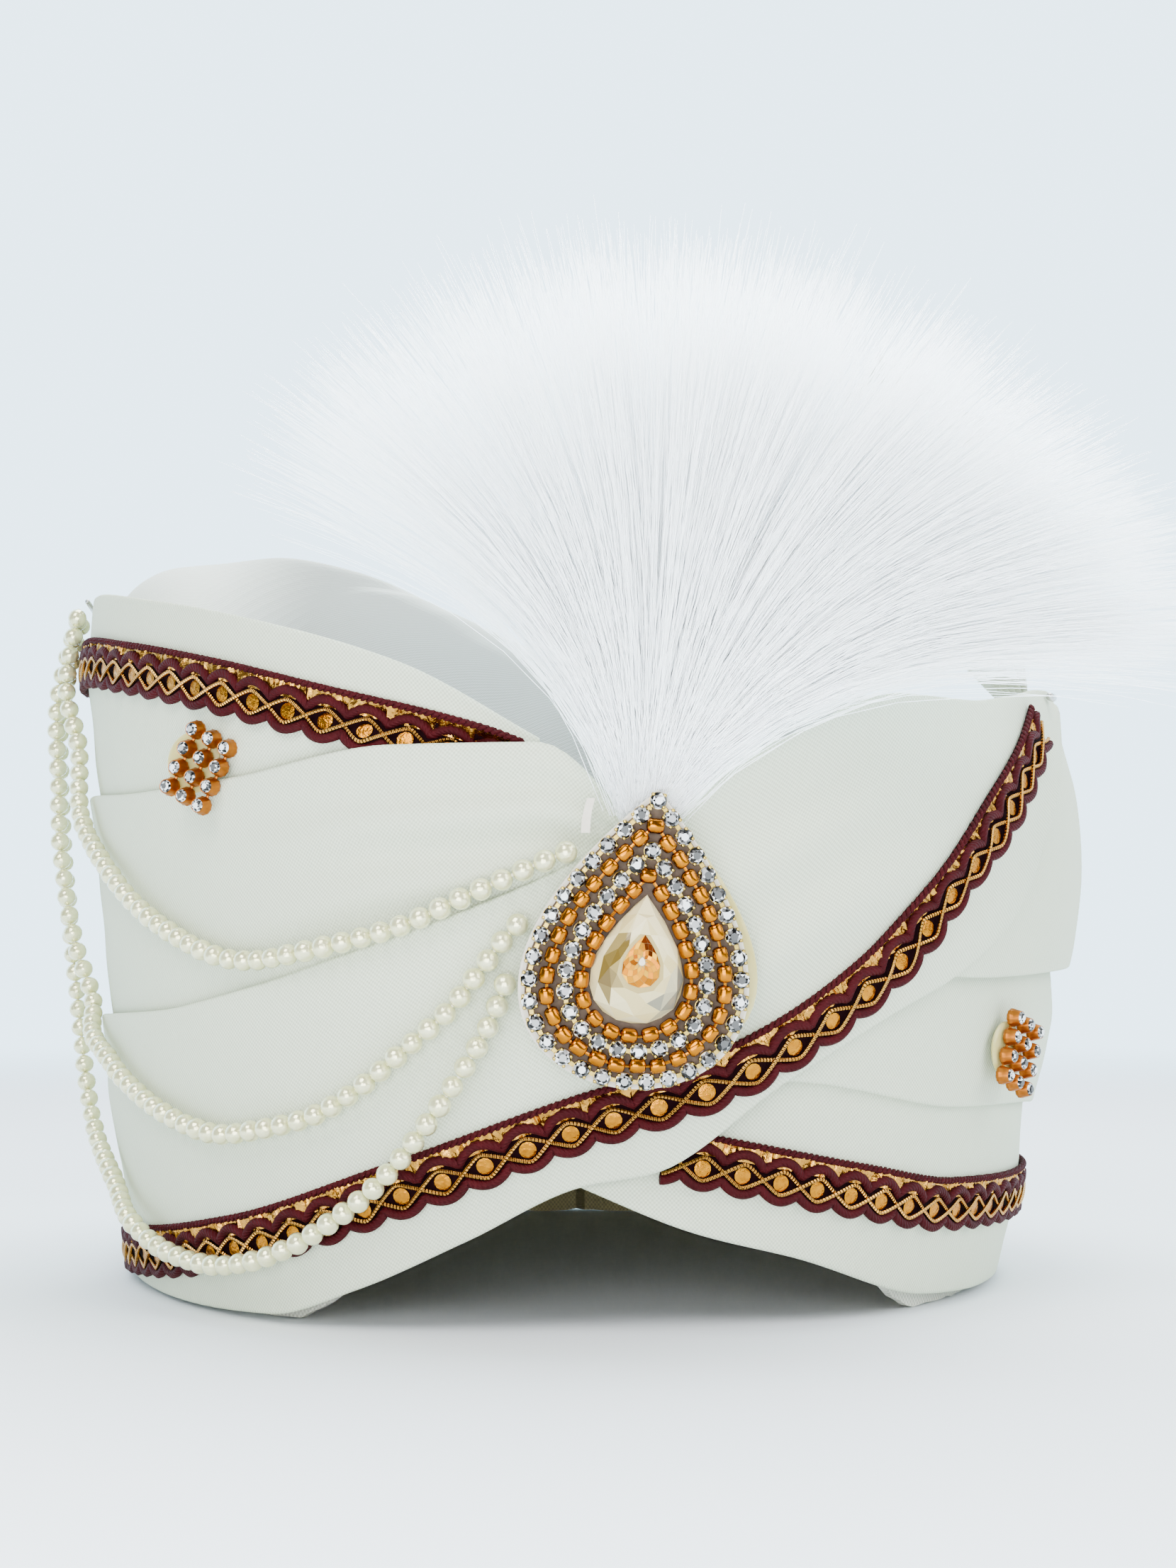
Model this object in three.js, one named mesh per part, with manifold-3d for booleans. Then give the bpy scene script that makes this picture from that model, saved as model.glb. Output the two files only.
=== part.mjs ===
// Tied turban (pagri): cream cotton wound in three wraps over a lined band, with a puffed crown, an upright
// pleated tail (turra), braided trim, strings of pearls, a plume, a teardrop brooch and two stone ornaments.
// Millimetres, +Z up. The front faces -Y. The origin is the middle of the head opening, on the rest plane.
// Places on the cloth are given by plan angle (degrees, 0 at the front, positive to the wearer's left, +X),
// by height, and by the distance that a face stands off the core, the oval that the lining follows.

import * as THREE from 'three';
import { mergeVertices } from 'three/addons/utils/BufferGeometryUtils.js';
import Module from 'manifold-3d';

const wasm = await Module();
wasm.setup();

// Core oval: half axes at the rest plane, and how much each grows per millimetre of height
const CORE = { side: 83, front: 98, back: 100, growth: 0.05 };

// Cloth
const CLOTH = 1.6;
const EDGE_ROLL = 0.9;
const GAP = 0.4;
const ANGLE_STEP = 9;
const CORE_STEP = 12;
const WRAP_SPANS = [0, 0.08, 0.3, 0.55, 0.8, 0.94, 1];

// Lining band
const LINING = { wall: 2, top: 70 };

// Crown: the flat-topped puff is high on the left and falls away to the right
const CROWN = { highTop: 140, lowTop: 116, slopeFrom: -58, slopeTo: 20, rings: 6 };

// Braided trim
const TRIM = { width: 9.7, thickness: 1.2, seat: 0.5, standoff: 8 };

// Pearls
const PEARL = 3.8;
const PEARL_SIDES = 8;
const PEARL_STEP = 10.5;
const PEARL_REACH = 3;

// Teardrop brooch: outline with its tip up
const BROOCH = {
  width: 37.5, height: 48.5, x: 11.3, y: -115.8, z: 66, roll: 6.5, yaw: 6, pitch: 5,
  backing: 1.6, seat: 0.3,
};
const BROOCH_PAD = { width: 31, height: 38, thickness: 1, shift: 4 };
const RING_OUTER = { width: 34.4, height: 45.4, drop: -0.2, count: 34, stone: 2.6, band: 3, bandHeight: 1 };
const RING_INNER = { width: 23, height: 32.4, drop: -1.8, count: 25, stone: 2.6, band: 3, bandHeight: 1.4 };
const CENTRE_STONE = {
  width: 15.2, height: 20.8, depth: 5.2, girdle: 1.6, sides: 20, drop: -3.1,
  footScale: 0.96, crownScale: 0.82, tableScale: 0.56,
};
const CUT = { tableScale: 0.55, crownShare: 0.75, sunk: 0.3 };
const OUTLINE_POINTS = { curve: 72, backing: 36, ring: 32, pad: 16 };

// Clusters of stones in cups
const CLUSTER = { columns: 3, rows: 4, pitch: 3.68, cup: 3.35, cupHeight: 2.1, plate: 0.8, stone: 2.5 };
const CLUSTERS = [
  { name: 'ornament_left', angle: -39.4, z: 95.6, standoff: 12.8, turn: 20, roll: 28, padShift: -2.4 },
  { name: 'ornament_right', angle: 56, z: 45.4, standoff: 12.2, turn: -10, roll: 22, padShift: -1.5 },
];
const CUP_FOOT = 0.83;
const PLATE_REACH = 0.98;
const PAD = { radius: 5.4, thickness: 0.9, sides: 12, seat: 0.3 };

// Plume: a fan of flat locks on a round head behind the brooch
const PLUME = {
  base: [12, -116.3, 91], head: 4, locks: 18, leftAngle: -50, rightAngle: 78, lean: 7,
  rootWidth: 1.8, width: 9, thickness: 1.5, steps: 5, curl: 20, layer: 0.8,
  startShare: 0.45, startTurn: 4, straightShare: 0.4, tipWidth: 0.44, tipDepth: 0.5,
};
const PLUME_HEAD_STRETCH = [1.5, 0.8, 1.4];

// Turra: an upright fan of knife pleats above the right shoulder
const TURRA = {
  base: [85, -43, 111.9], leftAngle: -38, rightAngle: -1, pleats: 6, rowsUp: 4, lean: 21,
  rootHalf: 6.5, rootAlong: [0.6, 0.8], fold: 2.6, rootFold: 0.35,
};

const COLOURS = {
  cotton: 0xece5d6, gauze: 0xf1efe6, maroon: 0x5a1526, pearl: 0xe9e4d0, bristle: 0xf6f6f2,
  gold: 0xd9a45a, champagne: 0xc9a27c, copper: 0xc8743a, glue: 0xe6d9a8, steel: 0x6d6a66,
};

// Wraps, from the inside out. Each row is a section: the heights of the lower and upper edges, how far the
// outer face stands off the core at each edge, and how far it swells between them. Angles run on past -180
// round the back, so -270 is the wearer's left again.
const wrapRow = (angle, low, high, offLow, offHigh, puff) => ({ angle, low, high, offLow, offHigh, puff });

// From under the front gather, over the top left, round the back, to the right side under the main wrap
const UPPER_ROWS = [
  wrapRow(-3, 88, 99, 7.4, 7.8, 0.6),
  wrapRow(-17, 86, 112, 6.6, 8.4, 1.2),
  wrapRow(-34, 83, 121, 7, 8.8, 2.4),
  wrapRow(-51, 82, 127.5, 6.9, 8.8, 2.6),
  wrapRow(-72, 84, 133.5, 6.9, 8.8, 2.6),
  wrapRow(-105, 84, 137, 6.9, 8.8, 2.6),
  wrapRow(-132, 83, 134.5, 7.2, 8.6, 3),
  wrapRow(-160, 78.5, 131, 8.4, 8.2, 4),
  wrapRow(-200, 77, 126, 10, 8, 5),
  wrapRow(-235, 68, 120, 14, 8.6, 5),
  wrapRow(-270, 61.5, 115, 14.8, 9.4, 5),
  wrapRow(-291, 60.2, 111.5, 13.4, 8.6, 4),
  wrapRow(-310, 59.2, 103, 11.2, 8.2, 1.6),
  wrapRow(-328, 61, 92, 9.2, 8.4, 0.6),
];

// The pleat above the main wrap on the left, round the back, to the pleat with the ornament on the right
const MIDDLE_ROWS = [
  wrapRow(6, 72, 86, 9.8, 10.2, 0.4),
  wrapRow(-3, 66, 98, 9.7, 12.8, 0.5),
  wrapRow(-17, 57, 98, 8.4, 12.8, 0.7),
  wrapRow(-36, 48, 93.8, 7.2, 11.8, 0.5),
  wrapRow(-52, 44, 92.7, 6.7, 11.2, 0.4),
  wrapRow(-77, 42, 94.5, 6.6, 11.1, 0.3),
  wrapRow(-105, 42, 95, 6.6, 11.1, 0.3),
  wrapRow(-132, 43, 82.4, 6.8, 9.4, 2),
  wrapRow(-160, 41.5, 77.5, 7.6, 8.4, 3.4),
  wrapRow(-200, 40.5, 76, 8.2, 9.4, 3),
  wrapRow(-235, 36, 73, 8.4, 10.6, 1.8),
  wrapRow(-270, 33.5, 70, 8.9, 10.4, 1.8),
  wrapRow(-295, 35.4, 70, 8.7, 9.6, 1.6),
  wrapRow(-312, 36.2, 68, 7.6, 7.4, 1.2),
  wrapRow(-336, 42, 60, 6.7, 7.2, 0.8),
  wrapRow(-346, 42.5, 52, 6.5, 6.8, 0.4),
];

// The main wrap: from the right shoulder down across the front, round the back at the hem, to the lowest
// pleat on the right and its end behind the front notch
const LOWER_ROWS = [
  wrapRow(68, 109, 114, 12.4, 9.4, 0.4),
  wrapRow(60, 91, 112.6, 15.6, 10.6, 1),
  wrapRow(52, 71, 110, 15.2, 12, 1.6),
  wrapRow(43, 60, 108, 13.4, 12.4, 2.2),
  wrapRow(34, 53, 108, 12, 12.6, 2.4),
  wrapRow(22, 42, 100.4, 10.2, 13, 2.4),
  wrapRow(9, 27.5, 88.3, 7.2, 13.2, 2.4),
  wrapRow(1, 25, 79, 5.4, 13.6, 2.2),
  wrapRow(-11, 16, 70, 5, 13, 2),
  wrapRow(-24, 7, 62.8, 4.8, 11.6, 1.8),
  wrapRow(-36, 1.4, 57.4, 4.8, 10.4, 1.5),
  wrapRow(-51, 0.8, 53.4, 4.9, 9.8, 1.2),
  wrapRow(-77, 1, 51.6, 5, 9.7, 1),
  wrapRow(-105, 0.8, 50, 5, 9.7, 1),
  wrapRow(-132, 0.7, 42.4, 4.8, 8.4, 2.2),
  wrapRow(-160, 0.6, 40.5, 4.4, 7.6, 3),
  wrapRow(-200, 0.6, 39.5, 3.6, 6.8, 2.6),
  wrapRow(-235, 0.6, 41, 2.8, 6.4, 1.8),
  wrapRow(-270, 0.8, 42, 2.6, 6.4, 1.6),
  wrapRow(-295, 1.2, 42, 2.6, 6.2, 1.4),
  wrapRow(-313, 2.8, 43, 2.6, 5.4, 1),
  wrapRow(-334, 12, 46, 2.4, 4.6, 0.6),
  wrapRow(-346, 16.8, 40, 2.3, 3, 0.3),
  wrapRow(-360, 25.4, 33, 2.2, 2.4, 0.1),
];

// Foot of the lining: it stands on the rest plane, apart from the arch over the brow
const footRow = (angle, z) => ({ angle, z });
const LINING_FOOT = [
  footRow(-180, 0), footRow(-36, 0), footRow(-24, 9), footRow(-12, 18.5), footRow(0, 27.5), footRow(12, 20.5),
  footRow(24, 15), footRow(36, 10), footRow(48, 0), footRow(180, 0),
];

// Top edges of the trims: plan angle and height
const trimRow = (angle, top) => ({ angle, top });
const TRIM_UPPER_ROWS = [
  trimRow(-4, 98.4), trimRow(-8, 101), trimRow(-24, 108.3), trimRow(-38, 114.6), trimRow(-54, 120.3),
  trimRow(-70, 124.4), trimRow(-105, 126.5), trimRow(-160, 121), trimRow(-200, 115), trimRow(-238, 110),
];
const TRIM_LOWER_ROWS = [
  trimRow(56, 109.4), trimRow(50, 99.6), trimRow(41, 84), trimRow(29, 63), trimRow(14, 47.6),
  trimRow(0, 40.3), trimRow(-18, 29.4), trimRow(-39, 18.6), trimRow(-60, 13.4), trimRow(-80, 11.4),
  trimRow(-105, 11.6), trimRow(-160, 14), trimRow(-235, 20), trimRow(-270, 22.6), trimRow(-290, 22.6),
  trimRow(-311, 23.6), trimRow(-326, 27.6), trimRow(-343, 33), trimRow(-349.4, 34.9),
];

// Crown rim: where the puff meets the wraps, by plan angle, and how squarely the puff's shoulder turns there
const rimRow = (angle, z, off, roundness) => ({ angle, z, off, roundness });
const CROWN_RIM = [
  rimRow(180, 122, 5.6, 4.5), rimRow(140, 116, 5.6, 4.5), rimRow(90, 109, 6, 4.5), rimRow(55, 104, 5.8, 4.5),
  rimRow(30, 100, 5.4, 4.5), rimRow(8, 88, 5, 4), rimRow(-6, 94, 4.8, 3.2), rimRow(-20, 108, 4.8, 3),
  rimRow(-36, 119, 4.6, 3), rimRow(-50, 126.5, 4.2, 6), rimRow(-68, 131, 3.8, 14), rimRow(-90, 133.5, 4, 16),
  rimRow(-115, 133.5, 4.6, 13), rimRow(-140, 130, 5, 7), rimRow(-180, 122, 5.6, 4.5),
];

// Pearl strings: plan angle, height and how far the string hangs clear of the cloth
const beadRow = (angle, z, clear) => ({ angle, z, clear });
const PEARL_STRINGS = [
  {
    name: 'pearl_string_short',
    rows: [
      beadRow(-79, 132.7, 0.2), beadRow(-79, 117, 0.4), beadRow(-76.5, 104, 0.8), beadRow(-71, 90, 0.4),
      beadRow(-60, 78.7, 0), beadRow(-51, 70.6, 0), beadRow(-41, 64.4, 0), beadRow(-34.7, 62.4, 0),
      beadRow(-27.5, 63.6, 0), beadRow(-16.6, 67.7, 0), beadRow(-9.6, 72.8, 0), beadRow(-3.4, 77.6, 0),
      beadRow(0.7, 80.6, 0),
    ],
  },
  {
    name: 'pearl_string_middle',
    rows: [
      beadRow(-82, 132.7, 0.4), beadRow(-82, 115, 2.6), beadRow(-81.5, 97, 4), beadRow(-80.5, 84, 4.8),
      beadRow(-79, 67, 3.8), beadRow(-77, 55, 1), beadRow(-71, 48.2, 0.2), beadRow(-63.5, 44, 0),
      beadRow(-57.7, 40.4, 0), beadRow(-49, 35.6, 0), beadRow(-40, 32.6, 0), beadRow(-33, 33.8, 0),
      beadRow(-26, 36.6, 0), beadRow(-20.6, 41.5, 0), beadRow(-15.3, 48.5, 0), beadRow(-11.5, 54, 0),
      beadRow(-8.7, 59.8, 0), beadRow(-6.4, 65, 0), beadRow(-4, 69.6, 0),
    ],
  },
  {
    name: 'pearl_string_long',
    rows: [
      beadRow(-85.2, 132.7, 0.4), beadRow(-85.4, 113, 2.8), beadRow(-85.4, 93, 4.6), beadRow(-85, 73, 5),
      beadRow(-83.6, 53, 3), beadRow(-81.6, 38, 2.2), beadRow(-77, 27.6, 1), beadRow(-67, 19.6, 0.2),
      beadRow(-59, 15, 0), beadRow(-51, 11, 0), beadRow(-42, 9.6, 0), beadRow(-35.6, 11, 0),
      beadRow(-31, 13.4, 0), beadRow(-26.5, 17, 0), beadRow(-19.4, 25, 0), beadRow(-13.7, 35.5, 0),
      beadRow(-8.8, 48, 0), beadRow(-6.6, 55.4, 0), beadRow(-5.6, 60.4, 0),
    ],
  },
];
const STRING_PIN = {
  name: 'string_pin', carrier: UPPER_ROWS, angle: -82.4, z: 134, radius: 0.8, length: 17,
};
const SHOULDER_PIN = {
  name: 'shoulder_pin', carrier: LOWER_ROWS, angle: 64.5, z: 112, radius: 0.8, length: 2.4,
};

// Lock lengths across the plume and pleat lengths across the turra, from left to right
const lengthRow = (at, length) => ({ at, length });
const PLUME_LENGTHS = [
  lengthRow(0, 86), lengthRow(0.14, 92), lengthRow(0.36, 94), lengthRow(0.6, 94), lengthRow(0.8, 95),
  lengthRow(0.92, 98), lengthRow(1, 92),
];
const TURRA_LENGTHS = [
  lengthRow(0, 58), lengthRow(0.3, 70), lengthRow(0.62, 82), lengthRow(0.8, 72), lengthRow(1, 58),
];

// Interpolation and placing

const radians = (degrees) => THREE.MathUtils.degToRad(degrees);
const lerp = THREE.MathUtils.lerp;

// Smooth value of a table's column at a key, with slopes that never overshoot the rows
function sample(rows, keyName, key, column) {
  const ordered = rows[0][keyName] < rows[rows.length - 1][keyName] ? rows : [...rows].reverse();
  const last = ordered.length - 1;
  const clamped = Math.min(Math.max(key, ordered[0][keyName]), ordered[last][keyName]);
  let index = 0;
  while (index < last - 1 && clamped > ordered[index + 1][keyName]) index += 1;
  const slopeOf = (i) => {
    const [from, to] = [ordered[i], ordered[i + 1]];
    return (to[column] - from[column]) / (to[keyName] - from[keyName]);
  };
  const tangent = (i) => {
    if (i === 0) return slopeOf(0);
    if (i === last) return slopeOf(last - 1);
    const before = slopeOf(i - 1);
    const after = slopeOf(i);
    return before * after <= 0 ? 0 : (2 * before * after) / (before + after);
  };
  const a = ordered[index];
  const b = ordered[index + 1];
  const span = b[keyName] - a[keyName];
  const u = (clamped - a[keyName]) / span;
  const h00 = (1 + 2 * u) * (1 - u) ** 2;
  const h10 = u * (1 - u) ** 2;
  const h01 = u * u * (3 - 2 * u);
  const h11 = u * u * (u - 1);
  return h00 * a[column] + h10 * span * tangent(index) + h01 * b[column] + h11 * span * tangent(index + 1);
}

// Point at a plan angle and height, a distance off the core
function place(angle, z, off) {
  const t = radians(angle);
  const side = CORE.side + CORE.growth * z + off;
  const depth = (Math.cos(t) > 0 ? CORE.front : CORE.back) + CORE.growth * z + off;
  return new THREE.Vector3(side * Math.sin(t), -depth * Math.cos(t), z);
}

// Outward direction of the core at a plan angle, level
function outward(angle) {
  const ahead = place(angle + 0.5, 0, 0);
  const behind = place(angle - 0.5, 0, 0);
  const along = ahead.sub(behind).normalize();
  return new THREE.Vector3(along.y, -along.x, 0);
}

// Outer face of a wrap at an angle and a share of its height
function wrapFace(rows, angle, share) {
  const low = sample(rows, 'angle', angle, 'low');
  const high = sample(rows, 'angle', angle, 'high');
  const offLow = sample(rows, 'angle', angle, 'offLow');
  const offHigh = sample(rows, 'angle', angle, 'offHigh');
  const puff = sample(rows, 'angle', angle, 'puff');
  const swell = 4 * puff * share * (1 - share);
  return { z: lerp(low, high, share), off: lerp(offLow, offHigh, share) + swell, low, high };
}

// How far a wrap's outer face stands off the core at an angle and height
function wrapOff(rows, angle, z) {
  const { low, high } = wrapFace(rows, angle, 0);
  return wrapFace(rows, angle, THREE.MathUtils.clamp((z - low) / (high - low), 0, 1)).off;
}

// Angles on one grid for every layer, so that neighbouring layers bend at the same places
function gridAngles(from, to, step = ANGLE_STEP) {
  const low = Math.min(from, to);
  const high = Math.max(from, to);
  const angles = [low];
  for (let k = Math.ceil((low + 1) / step); k * step < high - 1; k += 1) angles.push(k * step);
  angles.push(high);
  return angles;
}

// Meshes

// Closed solid through rings of points; capTriangles lists the first ring's cap, facing back along the loft
function loft(rings, capTriangles, closed = false) {
  const count = rings[0].length;
  const positions = rings.flat().flatMap((p) => [p.x, p.y, p.z]);
  const index = [];
  const spans = closed ? rings.length : rings.length - 1;
  for (let r = 0; r < spans; r += 1) {
    const here = r * count;
    const next = ((r + 1) % rings.length) * count;
    for (let i = 0; i < count; i += 1) {
      const j = (i + 1) % count;
      index.push(here + i, here + j, next + j, here + i, next + j, next + i);
    }
  }
  if (!closed) {
    const end = (rings.length - 1) * count;
    for (const [a, b, c] of capTriangles) {
      index.push(a, c, b);
      index.push(end + a, end + b, end + c);
    }
  }
  const geometry = new THREE.BufferGeometry();
  geometry.setAttribute('position', new THREE.Float32BufferAttribute(positions, 3));
  geometry.setIndex(index);
  return facingOut(geometry);
}

// Turn a closed mesh right way out if its volume comes out negative
function facingOut(geometry) {
  const p = geometry.getAttribute('position');
  const index = geometry.getIndex().array;
  const a = new THREE.Vector3();
  const b = new THREE.Vector3();
  const c = new THREE.Vector3();
  let volume = 0;
  for (let i = 0; i < index.length; i += 3) {
    a.fromBufferAttribute(p, index[i]);
    b.fromBufferAttribute(p, index[i + 1]);
    c.fromBufferAttribute(p, index[i + 2]);
    volume += a.dot(b.cross(c));
  }
  if (volume < 0) {
    const flipped = [];
    for (let i = 0; i < index.length; i += 3) flipped.push(index[i], index[i + 2], index[i + 1]);
    geometry.setIndex(flipped);
  }
  return geometry;
}

// Solid of a closed mesh, without the triangles that collapse where its vertices merge
function toManifold(geometry) {
  const bare = geometry.clone();
  bare.deleteAttribute('normal');
  bare.deleteAttribute('uv');
  const merged = mergeVertices(bare, 1e-4);
  const corners = merged.getIndex().array;
  const kept = [];
  for (let i = 0; i < corners.length; i += 3) {
    const [a, b, c] = [corners[i], corners[i + 1], corners[i + 2]];
    if (a !== b && b !== c && c !== a) kept.push(a, b, c);
  }
  return new wasm.Manifold(new wasm.Mesh({
    numProp: 3,
    vertProperties: new Float32Array(merged.getAttribute('position').array),
    triVerts: new Uint32Array(kept),
  }));
}

function fromManifold(solid) {
  const mesh = solid.getMesh();
  const geometry = new THREE.BufferGeometry();
  geometry.setAttribute('position', new THREE.Float32BufferAttribute(mesh.vertProperties, 3));
  geometry.setIndex([...mesh.triVerts]);
  return geometry;
}

function fuse(geometries) {
  const solids = geometries.map(toManifold);
  return fromManifold(solids.reduce((whole, solid) => whole.add(solid)));
}

// Wall of cloth between a wrap's outer face and the same face set back by the cloth's thickness
function wrapGeometry(rows) {
  const angles = gridAngles(rows[0].angle, rows[rows.length - 1].angle);
  const outerCount = WRAP_SPANS.length;
  const rings = angles.map((angle) => {
    const outer = WRAP_SPANS.map((share) => {
      const face = wrapFace(rows, angle, share);
      const roll = share === 0 || share === 1 ? EDGE_ROLL : 0;
      return place(angle, face.z, face.off - roll);
    });
    const inner = WRAP_SPANS.filter((share, i) => i % 2 === 0).map((share) => {
      const face = wrapFace(rows, angle, share);
      return place(angle, face.z, face.off - CLOTH);
    });
    return [...outer, ...inner.reverse()];
  });
  const total = rings[0].length;
  const cap = [];
  for (let j = 0; j < (outerCount - 1) / 2; j += 1) {
    const innerNear = total - 1 - j;
    const innerFar = innerNear - 1;
    const first = 2 * j;
    cap.push([innerNear, first, first + 1], [innerNear, first + 1, innerFar]);
    cap.push([innerFar, first + 1, first + 2]);
  }
  return loft(rings, cap);
}

// Flat braid laid on a wrap, from its top edge down across the slope of its run
function trimGeometry(rows, carrier) {
  const angles = gridAngles(rows[0].angle, rows[rows.length - 1].angle);
  const rings = angles.map((angle) => {
    const top = sample(rows, 'angle', angle, 'top');
    const ahead = place(angle + 0.5, sample(rows, 'angle', angle + 0.5, 'top'), TRIM.standoff);
    const behind = place(angle - 0.5, sample(rows, 'angle', angle - 0.5, 'top'), TRIM.standoff);
    const run = ahead.sub(behind);
    const levelPerDegree = Math.hypot(run.x, run.y);
    const slope = Math.atan2(run.z, levelPerDegree);
    const points = [0, 0.5, 1].map((share) => {
      const reach = share * TRIM.width;
      const at = angle + (reach * Math.sin(slope)) / levelPerDegree;
      const z = top - reach * Math.cos(slope);
      return { at, z, off: wrapOff(carrier, at, z) + TRIM.seat };
    });
    const under = points.map((p) => place(p.at, p.z, p.off));
    const over = points.map((p) => place(p.at, p.z, p.off + TRIM.thickness));
    return [...over, ...under.reverse()];
  });
  return loft(rings, [[5, 0, 1], [5, 1, 4], [4, 1, 2], [4, 2, 3]]);
}

// Oval band with a raised arch at the front, its foot flat on the rest plane
function liningGeometry() {
  const angles = gridAngles(-180, 180, CORE_STEP).slice(0, -1);
  const rings = angles.map((angle) => {
    const foot = sample(LINING_FOOT, 'angle', angle, 'z');
    return [
      place(angle, foot, 0), place(angle, LINING.top, 0),
      place(angle, LINING.top, -LINING.wall), place(angle, foot, -LINING.wall),
    ];
  });
  return loft(rings, [], true);
}

// Height of the puff's top over a place on the plan
function crownTop(x) {
  const fall = THREE.MathUtils.smoothstep(x, CROWN.slopeFrom, CROWN.slopeTo);
  return lerp(CROWN.highTop, CROWN.lowTop, fall);
}

// Soft cap: a skirt inside the wraps, then a puff over the head
function crownGeometry() {
  const angles = gridAngles(-180, 180, CORE_STEP).slice(0, -1);
  const skirtFoot = LINING.top + GAP;
  const shares = [];
  for (let k = 1; k <= CROWN.rings; k += 1) shares.push((k / CROWN.rings) ** 2);
  const skin = (angle, share, inset) => {
    const rimOff = sample(CROWN_RIM, 'angle', angle, 'off') - inset;
    const rim = place(angle, sample(CROWN_RIM, 'angle', angle, 'z'), rimOff);
    const x = rim.x * (1 - share);
    const y = rim.y * (1 - share);
    const rise = 1 - (1 - share) ** sample(CROWN_RIM, 'angle', angle, 'roundness');
    return new THREE.Vector3(x, y, lerp(rim.z, crownTop(x), rise) - (share > 0 ? inset * rise : 0));
  };
  const shell = (inset) => angles.map((angle) => {
    const skirt = place(angle, skirtFoot, -inset);
    const profile = [skirt, skin(angle, 0, inset)];
    for (const share of shares.slice(0, -1)) profile.push(skin(angle, share, inset));
    return profile;
  });
  const outer = shell(0);
  const inner = shell(LINING.wall);
  const perRing = outer[0].length;
  const points = [...outer.flat(), ...inner.flat()];
  const outerPole = points.length;
  points.push(new THREE.Vector3(0, 0, crownTop(0)));
  const innerPole = points.length;
  points.push(new THREE.Vector3(0, 0, crownTop(0) - LINING.wall));
  const innerStart = outer.length * perRing;
  const index = [];
  for (let a = 0; a < angles.length; a += 1) {
    const b = (a + 1) % angles.length;
    for (let k = 0; k < perRing - 1; k += 1) {
      const p = a * perRing + k;
      const q = b * perRing + k;
      index.push(p, q, q + 1, p, q + 1, p + 1);
      const [ip, iq] = [innerStart + p, innerStart + q];
      index.push(ip, iq + 1, iq, ip, ip + 1, iq + 1);
    }
    const topA = a * perRing + perRing - 1;
    const topB = b * perRing + perRing - 1;
    index.push(topA, topB, outerPole);
    index.push(innerStart + topA, innerPole, innerStart + topB);
    const footA = a * perRing;
    const footB = b * perRing;
    index.push(footA, innerStart + footA, innerStart + footB, footA, innerStart + footB, footB);
  }
  const geometry = new THREE.BufferGeometry();
  const positions = points.flatMap((p) => [p.x, p.y, p.z]);
  geometry.setAttribute('position', new THREE.Float32BufferAttribute(positions, 3));
  geometry.setIndex(index);
  return facingOut(geometry);
}

// Cloth that a string of pearls lies on: the outermost face near an angle and height, or the trim on it
function clothOff(angle, z) {
  const faces = [UPPER_ROWS, MIDDLE_ROWS, LOWER_ROWS].map((rows) => {
    const { low, high } = wrapFace(rows, angle, 0);
    const heights = [z - PEARL_REACH, z, z + PEARL_REACH].filter((height) => height >= low && height <= high);
    return Math.max(0, ...heights.map((height) => wrapOff(rows, angle, height)));
  });
  const braid = [TRIM_UPPER_ROWS, TRIM_LOWER_ROWS].some((rows) => {
    const top = sample(rows, 'angle', angle, 'top');
    return z < top + PEARL && z > top - TRIM.width - 2 * PEARL;
  });
  return Math.max(...faces) + (braid ? TRIM.seat + TRIM.thickness : 0);
}

// Round tube along the route of a string
function pearlStringGeometry(rows) {
  const route = new THREE.CatmullRomCurve3(rows.map(({ angle, z, clear }) => (
    place(angle, z, clothOff(angle, z) + PEARL / 2 + GAP + clear)
  )));
  const section = new THREE.Shape();
  for (let i = 0; i < PEARL_SIDES; i += 1) {
    const turn = (2 * Math.PI * i) / PEARL_SIDES;
    const x = (PEARL / 2) * Math.cos(turn);
    const y = (PEARL / 2) * Math.sin(turn);
    if (i === 0) section.moveTo(x, y);
    else section.lineTo(x, y);
  }
  section.closePath();
  const steps = Math.round(route.getLength() / PEARL_STEP);
  return new THREE.ExtrudeGeometry(section, { steps, extrudePath: route, bevelEnabled: false });
}

// Point on a teardrop outline with its tip up; turn runs once round from the tip, counter-clockwise
function teardrop(turn, width, height) {
  const half = Math.sin(turn / 2);
  const widest = 0.7698;
  return new THREE.Vector2((-width / 2) * Math.sin(turn) * half / widest, (height / 2) * Math.cos(turn));
}

// Points spaced evenly round a teardrop
function teardropPoints(count, width, height) {
  const curve = new THREE.CatmullRomCurve3(Array.from({ length: OUTLINE_POINTS.curve }, (unused, i) => {
    const p = teardrop((2 * Math.PI * i) / OUTLINE_POINTS.curve, width, height);
    return new THREE.Vector3(p.x, p.y, 0);
  }), true);
  return curve.getSpacedPoints(count).slice(0, count).map((p) => new THREE.Vector2(p.x, p.y));
}

// Plate of an outline, standing from z = 0 up
function plateGeometry(points, thickness, hole) {
  const shape = new THREE.Shape(points);
  if (hole) shape.holes.push(new THREE.Path(hole));
  return new THREE.ExtrudeGeometry(shape, { depth: thickness, bevelEnabled: false, curveSegments: 1 });
}

// Solid of eight sides from a half profile, standing on z = base at a place in the plane
function eightSided(profile, x, y, base) {
  const solid = new THREE.LatheGeometry(profile.map(([radius, z]) => new THREE.Vector2(radius, z)), 8);
  solid.rotateX(Math.PI / 2);
  solid.translate(x, y, base);
  return facingOut(solid);
}

// Half profile of a cut stone: eight crown facets up to a table
const stoneProfile = (radius, z) => {
  const table = z + CUT.crownShare * radius;
  return [[radius, z], [CUT.tableScale * radius, table], [0, table]];
};

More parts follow.
